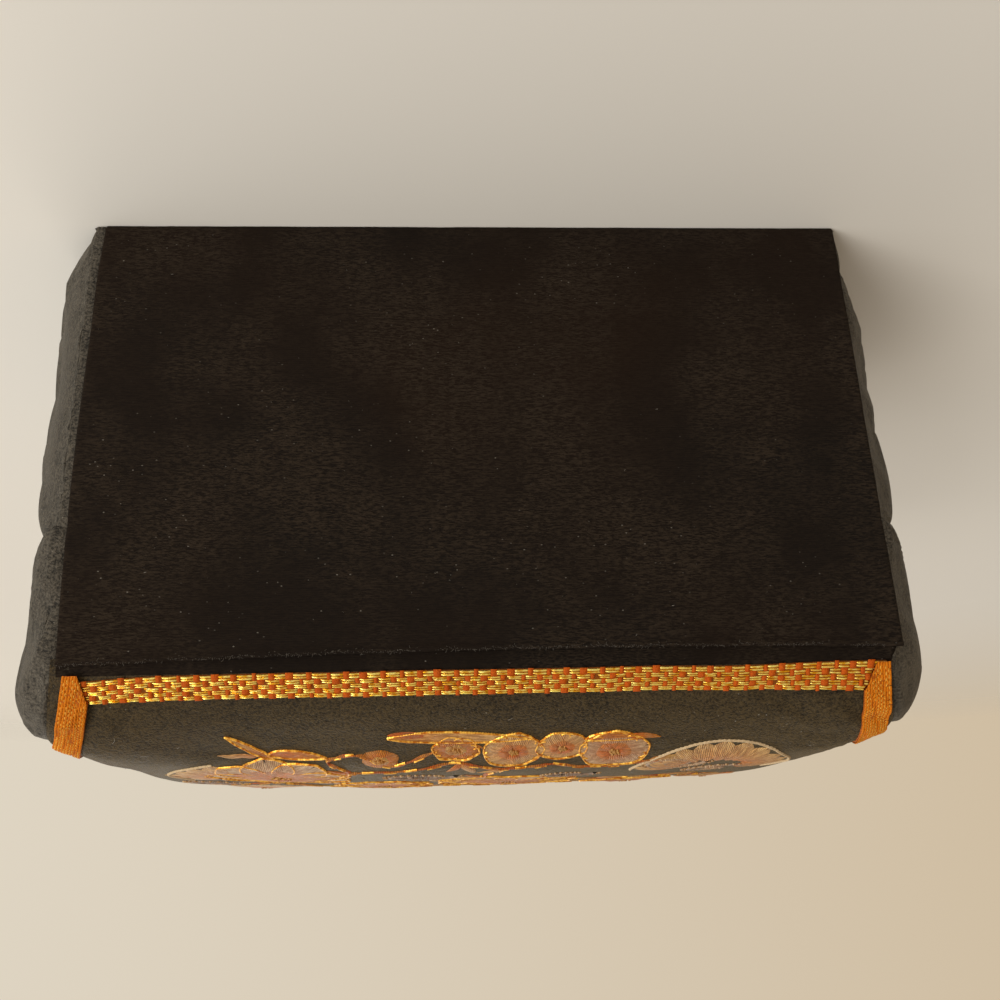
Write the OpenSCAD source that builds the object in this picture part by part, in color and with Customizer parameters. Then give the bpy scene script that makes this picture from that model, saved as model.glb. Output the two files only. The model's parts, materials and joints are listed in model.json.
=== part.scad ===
// Cloth-covered keepsake box with a domed, embroidered lid framed in woven braid.
// Board carcass, wadding under satin on the ends and front, flat cotton back with a cloth hinge,
// red satin lining, lift-out tray and a mirror in the lid.
// Millimetres. Origin: middle of the underside. X is the width, the flat back faces +Y, +Z is up.

/* [Box] */
// Width over the end boards
box_w = 178; // [145:1:220]
// Depth over the front and back boards
box_d = 115; // [95:1:145]
// Height of the body from the table to its rim
body_h = 75; // [62:1:95]
// Height of the lid's flat back, from the rim to the top edge
lid_h = 31; // [26:1:42]
// How far the lid turns before its two stays are taut, in degrees
open_angle = 100; // [90:1:110]

/* [Board and cloth] */
// Thickness of the greyboard walls and base
board_t = 3; // [2:0.25:4]
// Thickness of the bent card under the crown
crown_card_t = 2; // [1:0.25:3]
// Thickness of the lining boards, satin included
liner_t = 1.5; // [1:0.25:2]
// Thickness of the plain cotton on the back and the base
cotton_t = 0.5; // [0.3:0.1:0.8]
// Thickness of the satin
satin_t = 0.4; // [0.3:0.05:0.6]
// Height of the strip of cotton that bends as the hinge
hinge_strip = 6; // [4:0.5:10]

/* [Padding] */
// Fullness of the padding on the two ends
end_full = 11; // [7:0.2:14]
// Fullness of the padding on the front
front_full = 10; // [6:0.2:13]
// Distance from the back over which the end padding swells to its fullness
end_roll = 19; // [12:1:45]
// Height of the padding where it is pressed down at a board's edge
pressed = 2; // [0.8:0.1:2.5]

/* [Crown] */
// Rise of the bent card between the lid's back and front walls
arch_rise = 10; // [6:0.5:14]
// Height of the crown's middle above the top edge of the lid's back
crown_full = 21.7; // [20:0.1:26]
// Height of the crown's shoulder, just inside the end braids
crown_side_full = 17.8; // [15:0.1:20]
// Height of the crown's end edges above the top edge of the lid's back
crown_end_full = 10.5; // [8:0.1:13]
// How far the crown spreads past the end boards
crown_flare = 8; // [3:0.5:9]
// How far the crown spreads past the front board
crown_front = 4; // [2:0.5:6]
// Width of the woven braid round the crown
braid_w = 6; // [4:0.2:9]
// Thickness of the braid
braid_t = 0.8; // [0.5:0.1:1.2]

/* [Inside] */
// Height of the lining's lip above the rim, which keeps the lid in place
lip_h = 5; // [3:0.5:7]
// Clearance between the lip and the lid's walls
lip_gap = 0.3; // [0.2:0.05:0.6]
// Height of the lift-out tray
tray_h = 20; // [14:1:24]
// Depth of the tray's top edge below the rim
tray_drop = 9; // [7:0.5:12]
// Clearance between the tray's ends and the lining, where the stays fold away
tray_end_gap = 2.4; // [1.6:0.1:4]
// Clearance between the tray's long sides and the lining
tray_side_gap = 1; // [0.6:0.1:2]
// Thickness of the tray's walls and base
tray_t = 2; // [1.5:0.25:3]
// Number of ring rolls side by side in the tray
ring_rolls_n = 4; // [3:1:5]
// Length of the ring rolls
ring_roll_l = 101.5; // [70:0.5:110]
// Depth of the tray's front row, which the ring rolls fill
ring_bay = 37; // [30:1:42]
// Width of the mirror
mirror_w = 124; // [90:1:140]
// Depth of the mirror
mirror_d = 74; // [56:1:76]
// Thickness of the mirror
mirror_t = 2; // [1.5:0.25:3]

/* [Stays] */
// Distance of a stay's ends from the hinge
stay_reach = 60; // [45:1:70]
// Height of a stay's ends above and below the rim
stay_rise = 8; // [7:0.5:10]
// Width of the stay ribbon
stay_w = 10; // [6:0.5:12]

/* [Hidden] */

// Clearance of a soft or loose piece from its seat, and of two boards that all but touch
seat_gap = 0.3;
hair = 0.05;

// Places shared by the pieces
half_w = box_w / 2;
half_d = box_d / 2;
floor_z = cotton_t + board_t;
rim_gap = 0.4;
lid_z = body_h + rim_gap;
top_z = body_h + lid_h;
hinge_y = half_d + cotton_t / 2;
hinge_z = body_h + rim_gap / 2;
in_w = half_w - board_t;
in_d = half_d - board_t;
well_w = in_w - lip_gap - liner_t;
well_d = in_d - lip_gap - liner_t;
lip_z = body_h + lip_h;

// Colours of the real finishes
cotton_black = [0.035, 0.032, 0.036];
satin_black = [0.06, 0.06, 0.065];
greyboard = [0.55, 0.53, 0.48];
wadding_white = [0.9, 0.89, 0.85];
lining_red = [0.55, 0.03, 0.06];
braid_gold = [0.85, 0.52, 0.16];

// Counts of steps along the padded surfaces
roll_cols = 6;
flat_cols = 3;
corner_cols = 4;
front_cols = 3;
pad_rows = 8;
crown_cols = 26;
crown_rows = 16;
fill_cols = 20;
fill_rows = 12;

// Arch of the bent card: a circle through the top edges of the lid's back and front
arch_r = (half_d * half_d + arch_rise * arch_rise) / (2 * arch_rise);
arch_mid_z = top_z + arch_rise - arch_r;
function arch_z(y, sunk = 0) = arch_mid_z + sqrt((arch_r - sunk) * (arch_r - sunk) - y * y);

// Shape of the crown: a height over the plan, given by x and the depth d from the back
crown_edge_z = top_z + 0.8;
crown_d = box_d + crown_front;
crown_back_half = half_w - 0.5;
crown_flare_d = 39;
crown_corner = 9;
crown_half_w = crown_back_half + crown_flare;
function crown_half(d) =
  d <= crown_flare_d ? crown_back_half + crown_flare * sin(90 * d / crown_flare_d)
  : d <= crown_d - crown_corner ? crown_half_w
  : crown_half_w - crown_corner
    + sqrt(max(0, pow(crown_corner, 2) - pow(d - crown_d + crown_corner, 2)));
function mix(a, b, k) = a + (b - a) * k;
function unit(v) = v / norm(v);
// Powers of the crown's outlines: flat across the top, rounded close to the edge, fuller at the ends
crown_shoulder = 14.5;
crown_bulge = 4.5;
crown_bulge_end = 9.9;
crown_bulge_reach = 7.9;
// Height of the crown's ridge at x, which falls slowly to its shoulders and then fast to its ends
function crown_ridge(x) =
  let (side = min(1, abs(x) / crown_half_w))
  crown_full - (crown_full - crown_side_full) * pow(side, 2)
  - (crown_side_full - crown_end_full) * pow(side, crown_shoulder);
function crown_z(x, d) =
  let (
    power = mix(crown_bulge, crown_bulge_end, pow(min(1, abs(x) / crown_half_w), crown_bulge_reach)),
    full = crown_ridge(x) - (crown_edge_z - top_z)
  ) crown_edge_z + full * (1 - pow(min(1, abs(2 * d / crown_d - 1)), power));

// Point of the crown's surface, sunk by s along its normal
function crown_at(x, d, s) =
  let (
    step = 0.4,
    dx = (crown_z(x + step, d) - crown_z(x - step, d)) / (2 * step),
    d0 = max(0, d - step),
    d1 = min(crown_d, d + step),
    dd = (crown_z(x, d1) - crown_z(x, d0)) / (d1 - d0),
    normal = unit([-dx, dd, 1])
  ) [x, half_d - d, crown_z(x, d)] - s * normal;
// Even steps that crowd towards both ends of 0 to 1
function eased(i, n) = (1 - cos(180 * i / n)) / 2;

// Closed solid between two grids of the same size: front faces of the first, back faces of the second.
// Opposite sides are split by the same diagonal, so solids that share a column meet without an overlap
module between_grids(near, far) {
  rows = len(near);
  cols = len(near[0]);
  shift = rows * cols;
  behind = shift * [1, 1, 1];
  function at(r, c) = r * cols + c;
  rim = concat(
    [for (c = [0:cols - 1]) at(0, c)],
    [for (r = [1:rows - 1]) at(r, cols - 1)],
    [for (c = [cols - 2:-1:0]) at(rows - 1, c)],
    [for (r = [rows - 2:-1:1]) at(r, 0)]
  );
  turns = len(rim);
  half_turn = rows + cols - 2;
  polyhedron(
    points = concat([for (r = near, p = r) p], [for (r = far, p = r) p]),
    faces = concat(
      [for (r = [0:rows - 2], c = [0:cols - 2]) [at(r, c), at(r + 1, c), at(r + 1, c + 1)]],
      [for (r = [0:rows - 2], c = [0:cols - 2]) [at(r, c), at(r + 1, c + 1), at(r, c + 1)]],
      [for (r = [0:rows - 2], c = [0:cols - 2]) [at(r, c), at(r + 1, c + 1), at(r + 1, c)] + behind],
      [for (r = [0:rows - 2], c = [0:cols - 2]) [at(r, c), at(r, c + 1), at(r + 1, c + 1)] + behind],
      [for (i = [0:half_turn - 1]) [rim[i], rim[i + 1], rim[i + 1] + shift]],
      [for (i = [0:half_turn - 1]) [rim[i], rim[i + 1] + shift, rim[i] + shift]],
      [for (i = [half_turn:turns - 1]) [rim[i], rim[(i + 1) % turns], rim[i] + shift]],
      [for (i = [half_turn:turns - 1]) [rim[(i + 1) % turns], rim[(i + 1) % turns] + shift, rim[i] + shift]]
    )
  );
}

// The padding wraps the two ends and the front. A column is one vertical line of it:
// [foot on the board, outward direction, fullness, seam with the crown]
roll_power = 1.6;
function end_swell(d) =
  max(pressed, end_full * pow(1 - pow(1 - min(1, d / end_roll), roll_power), 1 / roll_power));
function end_column(d) =
  let (seam_d = d * (crown_d - crown_corner) / box_d)
  [[-half_w, half_d - d], [-1, 0], end_swell(d), [-crown_half(seam_d), half_d - seam_d]];
function corner_column(a) =
  let (
    swell = [-end_full * cos(a), -front_full * sin(a)],
    centre = [crown_corner - crown_half_w, half_d - crown_d + crown_corner]
  ) [[-half_w, -half_d], unit(swell), norm(swell), centre + crown_corner * [-cos(a), -sin(a)]];
function front_column(k) =
  [[-half_w * (1 - k), -half_d], [0, -1], front_full,
   [(crown_corner - crown_half_w) * (1 - k), half_d - crown_d]];
left_columns = concat(
  [for (i = [0:roll_cols - 1]) end_column(end_roll * (1 - cos(90 * i / roll_cols)))],
  [for (i = [0:flat_cols]) end_column(mix(end_roll, box_d, i / flat_cols))],
  [for (i = [1:corner_cols - 1]) corner_column(90 * i / corner_cols)],
  [for (i = [0:front_cols]) front_column(i / front_cols)]
);
function mirrored(c) = [[-c[0].x, c[0].y], [-c[1].x, c[1].y], c[2], [-c[3].x, c[3].y]];
wrap_columns = concat(left_columns, [for (i = [len(left_columns) - 2:-1:0]) mirrored(left_columns[i])]);
fill_first = 1;
fill_last = len(wrap_columns) - 1 - fill_first;
left_corner = roll_cols + flat_cols + corner_cols / 2;
right_corner = len(wrap_columns) - 1 - left_corner;

// Swell of a pad between two pressed edges, for t from 0 at one edge to 1 at the other
function swell(t, power) = pow(1 - pow(abs(2 * t - 1), power), 1 / power);
// Body padding: sunk by s below the satin's outer face
pad_foot_z = 1;
body_pad_top = body_h - 0.15;
body_bulge = 5.5;
function body_pad(c, t, s) =
  let (out = pressed + (c[2] - pressed) * swell(t, body_bulge) - s)
  [each (c[0] + out * c[1]), mix(pad_foot_z + s, body_pad_top - s, t)];
// Lid padding: from the rim up to the seam with the crown
lid_pad_foot = body_h + 0.5;
lid_extra = 1.3;
lid_bulge = 2.2;
// The pad's top edge lies just under the crown's satin
seam_drop = satin_t + 0.1;
function seam_z(c) = crown_z(c[3].x, half_d - c[3].y) - seam_drop;
function lid_pad(c, t, s) =
  let (
    foot = c[0] + pressed * c[1],
    lean = ((foot + c[3]) / 2 - c[0]) * c[1],
    out = max(0, c[2] + lid_extra - lean) * swell(t, lid_bulge) - s
  ) [each (mix(foot, c[3], t) + out * c[1]), mix(lid_pad_foot + s, seam_z(c) - s, t)];
// The wadding's flat back, just clear of the board, at height share t
function body_face(c, t, s) = [each (c[0] + seat_gap * c[1]), mix(pad_foot_z + s, body_pad_top - s, t)];
function lid_face(c, t, s) =
  [each (c[0] + seat_gap * c[1]), mix(lid_pad_foot + s, arch_z(c[0].y) - 2 * satin_t, t)];

module body_skin() {
  between_grids(
    [for (j = [0:pad_rows]) [for (c = wrap_columns) body_pad(c, eased(j, pad_rows), 0)]],
    [for (j = [0:pad_rows]) [for (c = wrap_columns) body_pad(c, eased(j, pad_rows), satin_t)]]
  );
}
module lid_skin() {
  between_grids(
    [for (j = [0:pad_rows]) [for (c = wrap_columns) lid_pad(c, eased(j, pad_rows), 0)]],
    [for (j = [0:pad_rows]) [for (c = wrap_columns) lid_pad(c, eased(j, pad_rows), satin_t)]]
  );
}
wadding_sink = satin_t + 0.15;
// Wadding from the first to the last column of its stretch
module body_fill(from, to) {
  rows = [for (j = [0:pad_rows]) eased(j, pad_rows)];
  between_grids(
    [for (t = rows) [for (i = [from:to]) body_pad(wrap_columns[i], t, wadding_sink)]],
    [for (t = rows) [for (i = [from:to]) body_face(wrap_columns[i], t, wadding_sink)]]
  );
}
// The lid's wadding stops a row short of the seam with the crown
module lid_fill(from, to) {
  rows = [for (j = [0:pad_rows - 1]) eased(j, pad_rows)];
  between_grids(
    [for (t = rows) [for (i = [from:to]) lid_pad(wrap_columns[i], t, wadding_sink)]],
    [for (t = rows) [for (i = [from:to]) lid_face(wrap_columns[i], t, wadding_sink)]]
  );
}
module to_right() {
  mirror([1, 0, 0]) children();
}
// Board or panel given by its low corner and its size
module panel(low, size) {
  translate(low) cube(size);
}

// Base and walls
module base_cloth() {
  color(cotton_black) panel([1 - half_w, 1 - half_d, 0], [box_w - 2, box_d - 2, cotton_t]);
}
module base_board() {
  color(greyboard) panel([-half_w, -half_d, cotton_t], [box_w, box_d, board_t]);
}
module back_board() {
  color(greyboard) panel([-half_w, in_d, floor_z], [box_w, board_t, body_h - floor_z]);
}
module front_board() {
  color(greyboard) panel([-half_w, -half_d, floor_z], [box_w, board_t, body_h - floor_z]);
}
module left_board() {
  color(greyboard) panel([-half_w, -in_d, floor_z], [board_t, 2 * in_d, body_h - floor_z]);
}
module right_board() {
  to_right() left_board();
}

// Padding and covering of the body
module left_wadding() {
  color(wadding_white) body_fill(fill_first, left_corner);
}
module front_wadding() {
  color(wadding_white) body_fill(left_corner, right_corner);
}
module right_wadding() {
  color(wadding_white) body_fill(right_corner, fill_last);
}
module body_satin() {
  color(satin_black) body_skin();
}
module back_cloth() {
  color(cotton_black)
    panel([-half_w, half_d, cotton_t], [box_w, cotton_t, body_h - hinge_strip / 2 - cotton_t]);
}
module hinge_cloth() {
  color(cotton_black) panel([-half_w, half_d, body_h - hinge_strip / 2], [box_w, cotton_t, hinge_strip]);
}

// Lining of the body, whose top stands above the rim as the lid's lip
module liner_long(y) {
  color(lining_red)
    panel([-well_w - liner_t, y, floor_z], [2 * (well_w + liner_t), liner_t, lip_z - floor_z]);
}
module liner_back() {
  liner_long(well_d);
}
module liner_front() {
  liner_long(-well_d - liner_t);
}
module liner_left() {
  color(lining_red) panel([-well_w - liner_t, -well_d, floor_z], [liner_t, 2 * well_d, lip_z - floor_z]);
}
module liner_right() {
  to_right() liner_left();
}
cushion_t = 5;
cushion_edge = 2;
cushion_bulge = 2.6;
module floor_cushion() {
  n = 12;
  m = 8;
  w = well_w - seat_gap;
  d = well_d - seat_gap;
  color(lining_red) between_grids(
    [for (j = [0:m]) [for (i = [0:n])
      [mix(-w, w, eased(i, n)), mix(-d, d, eased(j, m)),
       floor_z + cushion_edge + (cushion_t - cushion_edge)
       * swell(eased(i, n), cushion_bulge) * swell(eased(j, m), cushion_bulge)]]],
    [for (j = [0:m]) [for (i = [0:n]) [mix(-w, w, eased(i, n)), mix(-d, d, eased(j, m)), floor_z]]]
  );
}

// Tray, its ledges and what stands in it
tray_top = body_h - tray_drop;
tray_z = tray_top - tray_h;
tray_w = well_w - tray_end_gap;
tray_dp = well_d - tray_side_gap;
tray_in_w = tray_w - tray_t;
tray_in_d = tray_dp - tray_t;
tray_floor = tray_z + tray_t;
divider_t = 1.6;
divider_h = tray_h - tray_t - 2;
bay_y = ring_bay - tray_in_d;
ring_end_x = ring_roll_l + 2 * seat_gap - tray_in_w;
ledge_w = tray_end_gap + 2.4;
module left_ledge() {
  foot = floor_z + cushion_t;
  color(lining_red) panel([-well_w, -well_d, foot], [ledge_w, 2 * well_d, tray_z - seat_gap - foot]);
}
module right_ledge() {
  to_right() left_ledge();
}
module tray_base() {
  color(lining_red) panel([-tray_w, -tray_dp, tray_z], [2 * tray_w, 2 * tray_dp, tray_t]);
}
module tray_long_wall(y) {
  color(lining_red) panel([-tray_w, y, tray_floor], [2 * tray_w, tray_t, tray_h - tray_t]);
}
module tray_back_wall() {
  tray_long_wall(tray_in_d);
}
module tray_front_wall() {
  tray_long_wall(-tray_dp);
}
module tray_left_wall() {
  color(lining_red) panel([-tray_w, -tray_in_d, tray_floor], [tray_t, 2 * tray_in_d, tray_h - tray_t]);
}
module tray_right_wall() {
  to_right() tray_left_wall();
}
module tray_long_divider() {
  color(lining_red) panel([-tray_in_w, bay_y, tray_floor], [2 * tray_in_w, divider_t, divider_h]);
}
module tray_back_dividers() {
  y = bay_y + divider_t;
  color(lining_red)
    for (x = [-tray_in_w / 3, tray_in_w / 3])
      panel([x - divider_t / 2, y, tray_floor], [divider_t, tray_in_d - y, divider_h]);
}
module tray_front_divider() {
  color(lining_red) panel([ring_end_x, -tray_in_d, tray_floor], [divider_t, ring_bay, divider_h]);
}
// Padded rolls with rounded ends; a ring is pushed into the slit between two of them
module ring_rolls() {
  pitch = ring_bay / ring_rolls_n;
  r = pitch / 2 - 2 * hair;
  dome = r / 2;
  color(lining_red)
    for (i = [0:ring_rolls_n - 1])
      translate([seat_gap - tray_in_w, -tray_in_d + pitch * (i + 0.5), tray_floor + r])
        rotate([0, 90, 0])
          rotate_extrude($fn = 48)
            union() {
              square([r - dome, ring_roll_l]);
              translate([0, dome]) square([r, ring_roll_l - 2 * dome]);
              for (y = [dome, ring_roll_l - dome]) translate([r - dome, y]) circle(dome, $fn = 32);
            }
}
pull_w = 12;
pull_h = 8;
pull_t = 1.2;
// The front tab stands in the middle, and steps aside where it would meet the front divider
pull_room = pull_w / 2 + seat_gap;
pull_meets_divider = ring_end_x - pull_room < 0 && ring_end_x + divider_t + pull_room > 0;
front_pull_x = pull_meets_divider ? ring_end_x - pull_room : 0;
// Doubled ribbon tabs on the tray's long walls, by which it is lifted out
module tray_pulls() {
  color(lining_red)
    for (side = [-1, 1])
      translate([side < 0 ? front_pull_x : 0, side * (tray_in_d - pull_t / 2), tray_top])
        rotate([90, 0, 0])
          linear_extrude(pull_t, center = true)
            union() {
              translate([-pull_w / 2, -pull_h]) square([pull_w, 2 * pull_h - pull_w / 2]);
              translate([0, pull_h - pull_w / 2]) circle(pull_w / 2, $fn = 40);
            }
}

// Lid walls and crown
lid_wall_top = arch_z(half_d, crown_card_t) - hair;
module lid_back_board() {
  color(greyboard) panel([-half_w, in_d, lid_z], [box_w, board_t, lid_wall_top - lid_z]);
}
module lid_front_board() {
  color(greyboard) panel([-half_w, -half_d, lid_z], [box_w, board_t, lid_wall_top - lid_z]);
}
module lid_left_board() {
  color(greyboard)
    translate([-half_w, 0, 0])
      rotate([90, 0, 90])
        linear_extrude(board_t)
          intersection() {
            translate([-in_d, lid_z]) square([2 * in_d, lid_h + arch_rise]);
            translate([0, arch_mid_z]) circle(arch_r - crown_card_t - hair, $fn = 180);
          }
}
module lid_right_board() {
  to_right() lid_left_board();
}
module crown_card() {
  color(greyboard)
    rotate([90, 0, 90])
      linear_extrude(box_w, center = true)
        intersection() {
          difference() {
            translate([0, arch_mid_z]) circle(arch_r, $fn = 180);
            translate([0, arch_mid_z]) circle(arch_r - crown_card_t, $fn = 180);
          }
          translate([-half_d, lid_z]) square([box_d, lid_h + arch_rise]);
        }
}
module lid_left_wadding() {
  color(wadding_white) lid_fill(fill_first, left_corner);
}
module lid_front_wadding() {
  color(wadding_white) lid_fill(left_corner, right_corner);
}
module lid_right_wadding() {
  color(wadding_white) lid_fill(right_corner, fill_last);
}
module lid_satin() {
  color(satin_black) lid_skin();
}
module lid_back_cloth() {
  z = body_h + hinge_strip / 2;
  color(cotton_black) panel([-half_w, half_d, z], [box_w, cotton_t, top_z - z]);
}
// Grid of the crown's surface, sunk by s and drawn in from the outline by a share
function crown_grid(cols, rows, s, inset) =
  [for (j = [0:rows]) [for (i = [0:cols])
    let (
      d = crown_d * mix(inset, 1 - inset, eased(j, rows)),
      x = (1 - 2 * inset) * mix(1, -1, eased(i, cols)) * (crown_half(d) - seat_gap)
    ) crown_at(x, d, s)]];
fill_inset = 0.015;
fill_sink = satin_t + 0.5;
module crown_wadding() {
  w = half_w - 1;
  d = half_d - 2;
  color(wadding_white) between_grids(
    crown_grid(fill_cols, fill_rows, fill_sink, fill_inset),
    [for (j = [0:fill_rows]) [for (i = [0:fill_cols])
      let (y = mix(d, -d, eased(j, fill_rows)))
      [mix(w, -w, eased(i, fill_cols)), y, arch_z(y) + seat_gap]]]
  );
}
module crown_satin() {
  color(satin_black)
    between_grids(crown_grid(crown_cols, crown_rows, 0, 0), crown_grid(crown_cols, crown_rows, satin_t, 0));
}

// Braid: strips that lie on the crown just inside its outline
braid_rise = 0.35;
braid_inset = 0.5;
braid_rows = 3;
// Depth whose surface point lies one braid width along the slope from the point at depth d0
function braid_far_d(x, d0, lo, hi, n) =
  let (mid = (lo + hi) / 2)
  n == 0 ? mid
  : norm(crown_at(x, mid, 0) - crown_at(x, d0, 0)) < braid_w
    ? braid_far_d(x, d0, mid, hi, n - 1) : braid_far_d(x, d0, lo, mid, n - 1);
// Half width of the end strips' outer edge at depth d: drawn in a little at the back corners
function braid_side(d) = crown_half(d) - mix(1.9, 0.6, min(1, d / crown_flare_d));
module braid_across(front) {
  n = 14;
  start = braid_inset;
  inner = braid_side(start) - braid_w - seat_gap;
  xs = [for (i = [0:n]) mix(-inner, inner, i / n)];
  function depth(x, k) =
    let (d = mix(start, braid_far_d(x, start, start, start + braid_w, 12), k / braid_rows))
    front ? crown_d - d : d;
  low = [for (k = [0:braid_rows]) [for (x = xs) crown_at(x, depth(x, k), -braid_rise)]];
  high = [for (k = [0:braid_rows]) [for (x = xs) crown_at(x, depth(x, k), -braid_rise - braid_t)]];
  color(braid_gold)
    if (front) between_grids(high, low);
    else between_grids(low, high);
}
module braid_back() {
  braid_across(false);
}
module braid_front() {
  braid_across(true);
}
module braid_left() {
  n = 24;
  ds = [for (i = [0:n]) mix(braid_inset, crown_d - braid_inset, eased(i, n))];
  low = [for (k = [0:braid_rows]) [for (d = ds)
    crown_at(-braid_side(d) + braid_w * k / braid_rows, d, -braid_rise)]];
  high = [for (k = [0:braid_rows]) [for (d = ds)
    crown_at(-braid_side(d) + braid_w * k / braid_rows, d, -braid_rise - braid_t)]];
  color(braid_gold) between_grids(high, low);
}
module braid_right() {
  to_right() braid_left();
}

// Lining of the lid, above the lip
lid_liner_z = lip_z + 0.6;
ceiling_z = top_z - 6;
module lid_liner_long(y) {
  color(lining_red) panel([-in_w, y, lid_liner_z], [2 * in_w, liner_t, ceiling_z - lid_liner_z]);
}
module lid_liner_back() {
  lid_liner_long(in_d - liner_t);
}
module lid_liner_front() {
  lid_liner_long(-in_d);
}
module lid_liner_left() {
  color(lining_red)
    panel([-in_w, liner_t - in_d, lid_liner_z], [liner_t, 2 * (in_d - liner_t), ceiling_z - lid_liner_z]);
}
module lid_liner_right() {
  to_right() lid_liner_left();
}
module ceiling_panel() {
  color(lining_red) panel([-in_w, -in_d, ceiling_z], [2 * in_w, 2 * in_d, liner_t]);
}
module mirror_glass() {
  color([0.8, 0.84, 0.86])
    panel([-mirror_w / 2, -mirror_d / 2, ceiling_z - mirror_t], [mirror_w, mirror_d, mirror_t]);
}
border_w = 5;
border_t = mirror_t + 0.6;
// Satin-covered card strips mitred round the mirror
module mirror_border() {
  color(lining_red)
    translate([0, 0, ceiling_z - border_t])
      linear_extrude(border_t)
        difference() {
          square([mirror_w + 2 * border_w, mirror_d + 2 * border_w], center = true);
          square([mirror_w + 0.2, mirror_d + 0.2], center = true);
        }
}

// Stays: a ribbon folded in three against each end, taut at the open angle.
// Distances are from the hinge: a is forwards, b is up. The two creases lie on lines through the hinge.
stay_t = 0.3;
stay_far = sqrt(stay_reach * stay_reach + stay_rise * stay_rise);
stay_low_angle = -atan2(stay_rise, stay_reach);
stay_mid_angle = open_angle / 2;
stay_near = stay_far * cos(stay_mid_angle - stay_low_angle);
crease_angle = open_angle / 4;
// Point of the ribbon's edge at an angle seen from the hinge, w from its middle line, before folding
function stay_at(angle, w) =
  let (r = (stay_near + w) / cos(stay_mid_angle - angle)) [r * cos(angle), r * sin(angle)];
function turned(p, a) = [p.x * cos(a) + p.y * sin(a), p.y * cos(a) - p.x * sin(a)];
function flipped(p, a) = [p.x * cos(2 * a) + p.y * sin(2 * a), p.x * sin(2 * a) - p.y * cos(2 * a)];
module stay_layer(points, x) {
  translate([x, hinge_y, hinge_z])
    rotate([90, 0, -90])
      linear_extrude(stay_t)
        polygon(points);
}
module left_stay() {
  h = stay_w / 2;
  first = [stay_at(stay_low_angle, h), stay_at(stay_low_angle, -h),
           stay_at(crease_angle, -h), stay_at(crease_angle, h)];
  middle = [for (p = [stay_at(crease_angle, h), stay_at(crease_angle, -h),
                      stay_at(3 * crease_angle, -h), stay_at(3 * crease_angle, h)]) flipped(p, crease_angle)];
  last = [for (p = [stay_at(3 * crease_angle, -h), stay_at(3 * crease_angle, h),
                    stay_at(open_angle - stay_low_angle, h), stay_at(open_angle - stay_low_angle, -h)])
          turned(p, open_angle)];
  x = stay_t - well_w + hair;
  color(lining_red)
    union() {
      stay_layer(first, x);
      stay_layer(middle, x + stay_t);
      stay_layer(last, x + 2 * stay_t);
    }
}
module right_stay() {
  to_right() left_stay();
}

base_cloth();
base_board();
back_board();
front_board();
left_board();
right_board();
left_wadding();
front_wadding();
right_wadding();
body_satin();
back_cloth();
hinge_cloth();
liner_back();
liner_front();
liner_left();
liner_right();
floor_cushion();
left_ledge();
right_ledge();
left_stay();
right_stay();
tray_base();
tray_back_wall();
tray_front_wall();
tray_left_wall();
tray_right_wall();
tray_long_divider();
tray_back_dividers();
tray_front_divider();
ring_rolls();
tray_pulls();
lid_back_board();
lid_front_board();
lid_left_board();
lid_right_board();
crown_card();
lid_left_wadding();
lid_front_wadding();
lid_right_wadding();
lid_satin();
lid_back_cloth();
crown_wadding();
crown_satin();
braid_back();
braid_front();
braid_left();
braid_right();
lid_liner_back();
lid_liner_front();
lid_liner_left();
lid_liner_right();
ceiling_panel();
mirror_glass();
mirror_border();
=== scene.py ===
# %% [markdown]
# # A cloth-covered keepsake box
# The box is greyboard. Plain black cotton covers its flat back and bends as the hinge. Black satin is
# stretched over wadding on the ends, the front and the domed lid. The lid is embroidered and framed with
# a woven braid. Inside is red satin, a lift-out tray and a mirror.
#
# The construction comes as a fixed frame of solids. This lesson dresses that frame: each soft piece is
# made again as a fine mesh, and every surface gets a material built from nodes.

# %% Load the frame
import json
import math

import bpy
import numpy as np
from mathutils import Matrix, Vector, noise
from mathutils.bvhtree import BVHTree


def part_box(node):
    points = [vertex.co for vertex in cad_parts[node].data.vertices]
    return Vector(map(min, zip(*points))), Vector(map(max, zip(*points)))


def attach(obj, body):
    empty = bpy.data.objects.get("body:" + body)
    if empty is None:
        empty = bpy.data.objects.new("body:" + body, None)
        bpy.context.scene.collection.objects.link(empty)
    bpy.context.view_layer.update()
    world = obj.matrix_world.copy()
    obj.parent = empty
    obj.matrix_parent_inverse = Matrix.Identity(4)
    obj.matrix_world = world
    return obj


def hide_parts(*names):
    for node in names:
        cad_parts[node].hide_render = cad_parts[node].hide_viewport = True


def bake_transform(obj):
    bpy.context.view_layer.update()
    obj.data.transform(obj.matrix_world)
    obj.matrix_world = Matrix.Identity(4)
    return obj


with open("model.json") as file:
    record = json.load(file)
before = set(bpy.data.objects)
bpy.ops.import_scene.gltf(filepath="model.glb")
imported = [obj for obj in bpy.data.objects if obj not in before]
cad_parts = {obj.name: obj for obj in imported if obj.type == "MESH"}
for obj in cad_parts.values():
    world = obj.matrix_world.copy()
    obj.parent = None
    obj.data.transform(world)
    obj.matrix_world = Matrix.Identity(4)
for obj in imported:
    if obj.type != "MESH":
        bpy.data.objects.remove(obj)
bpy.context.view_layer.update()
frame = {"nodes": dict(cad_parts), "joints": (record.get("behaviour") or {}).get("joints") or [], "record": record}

MM = 0.001

# %% [markdown]
# ## Sizes
# Everything is worked out in millimetres, as a box maker would, and turned into metres when a mesh is
# made. What the frame already holds is read from it, so that the cloth fits the boards.

# %% Read the boards' places
def node_box(name):
    """Lowest and highest corner of a node, in millimetres."""
    low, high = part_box(name)
    return np.array(low) / MM, np.array(high) / MM


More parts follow.
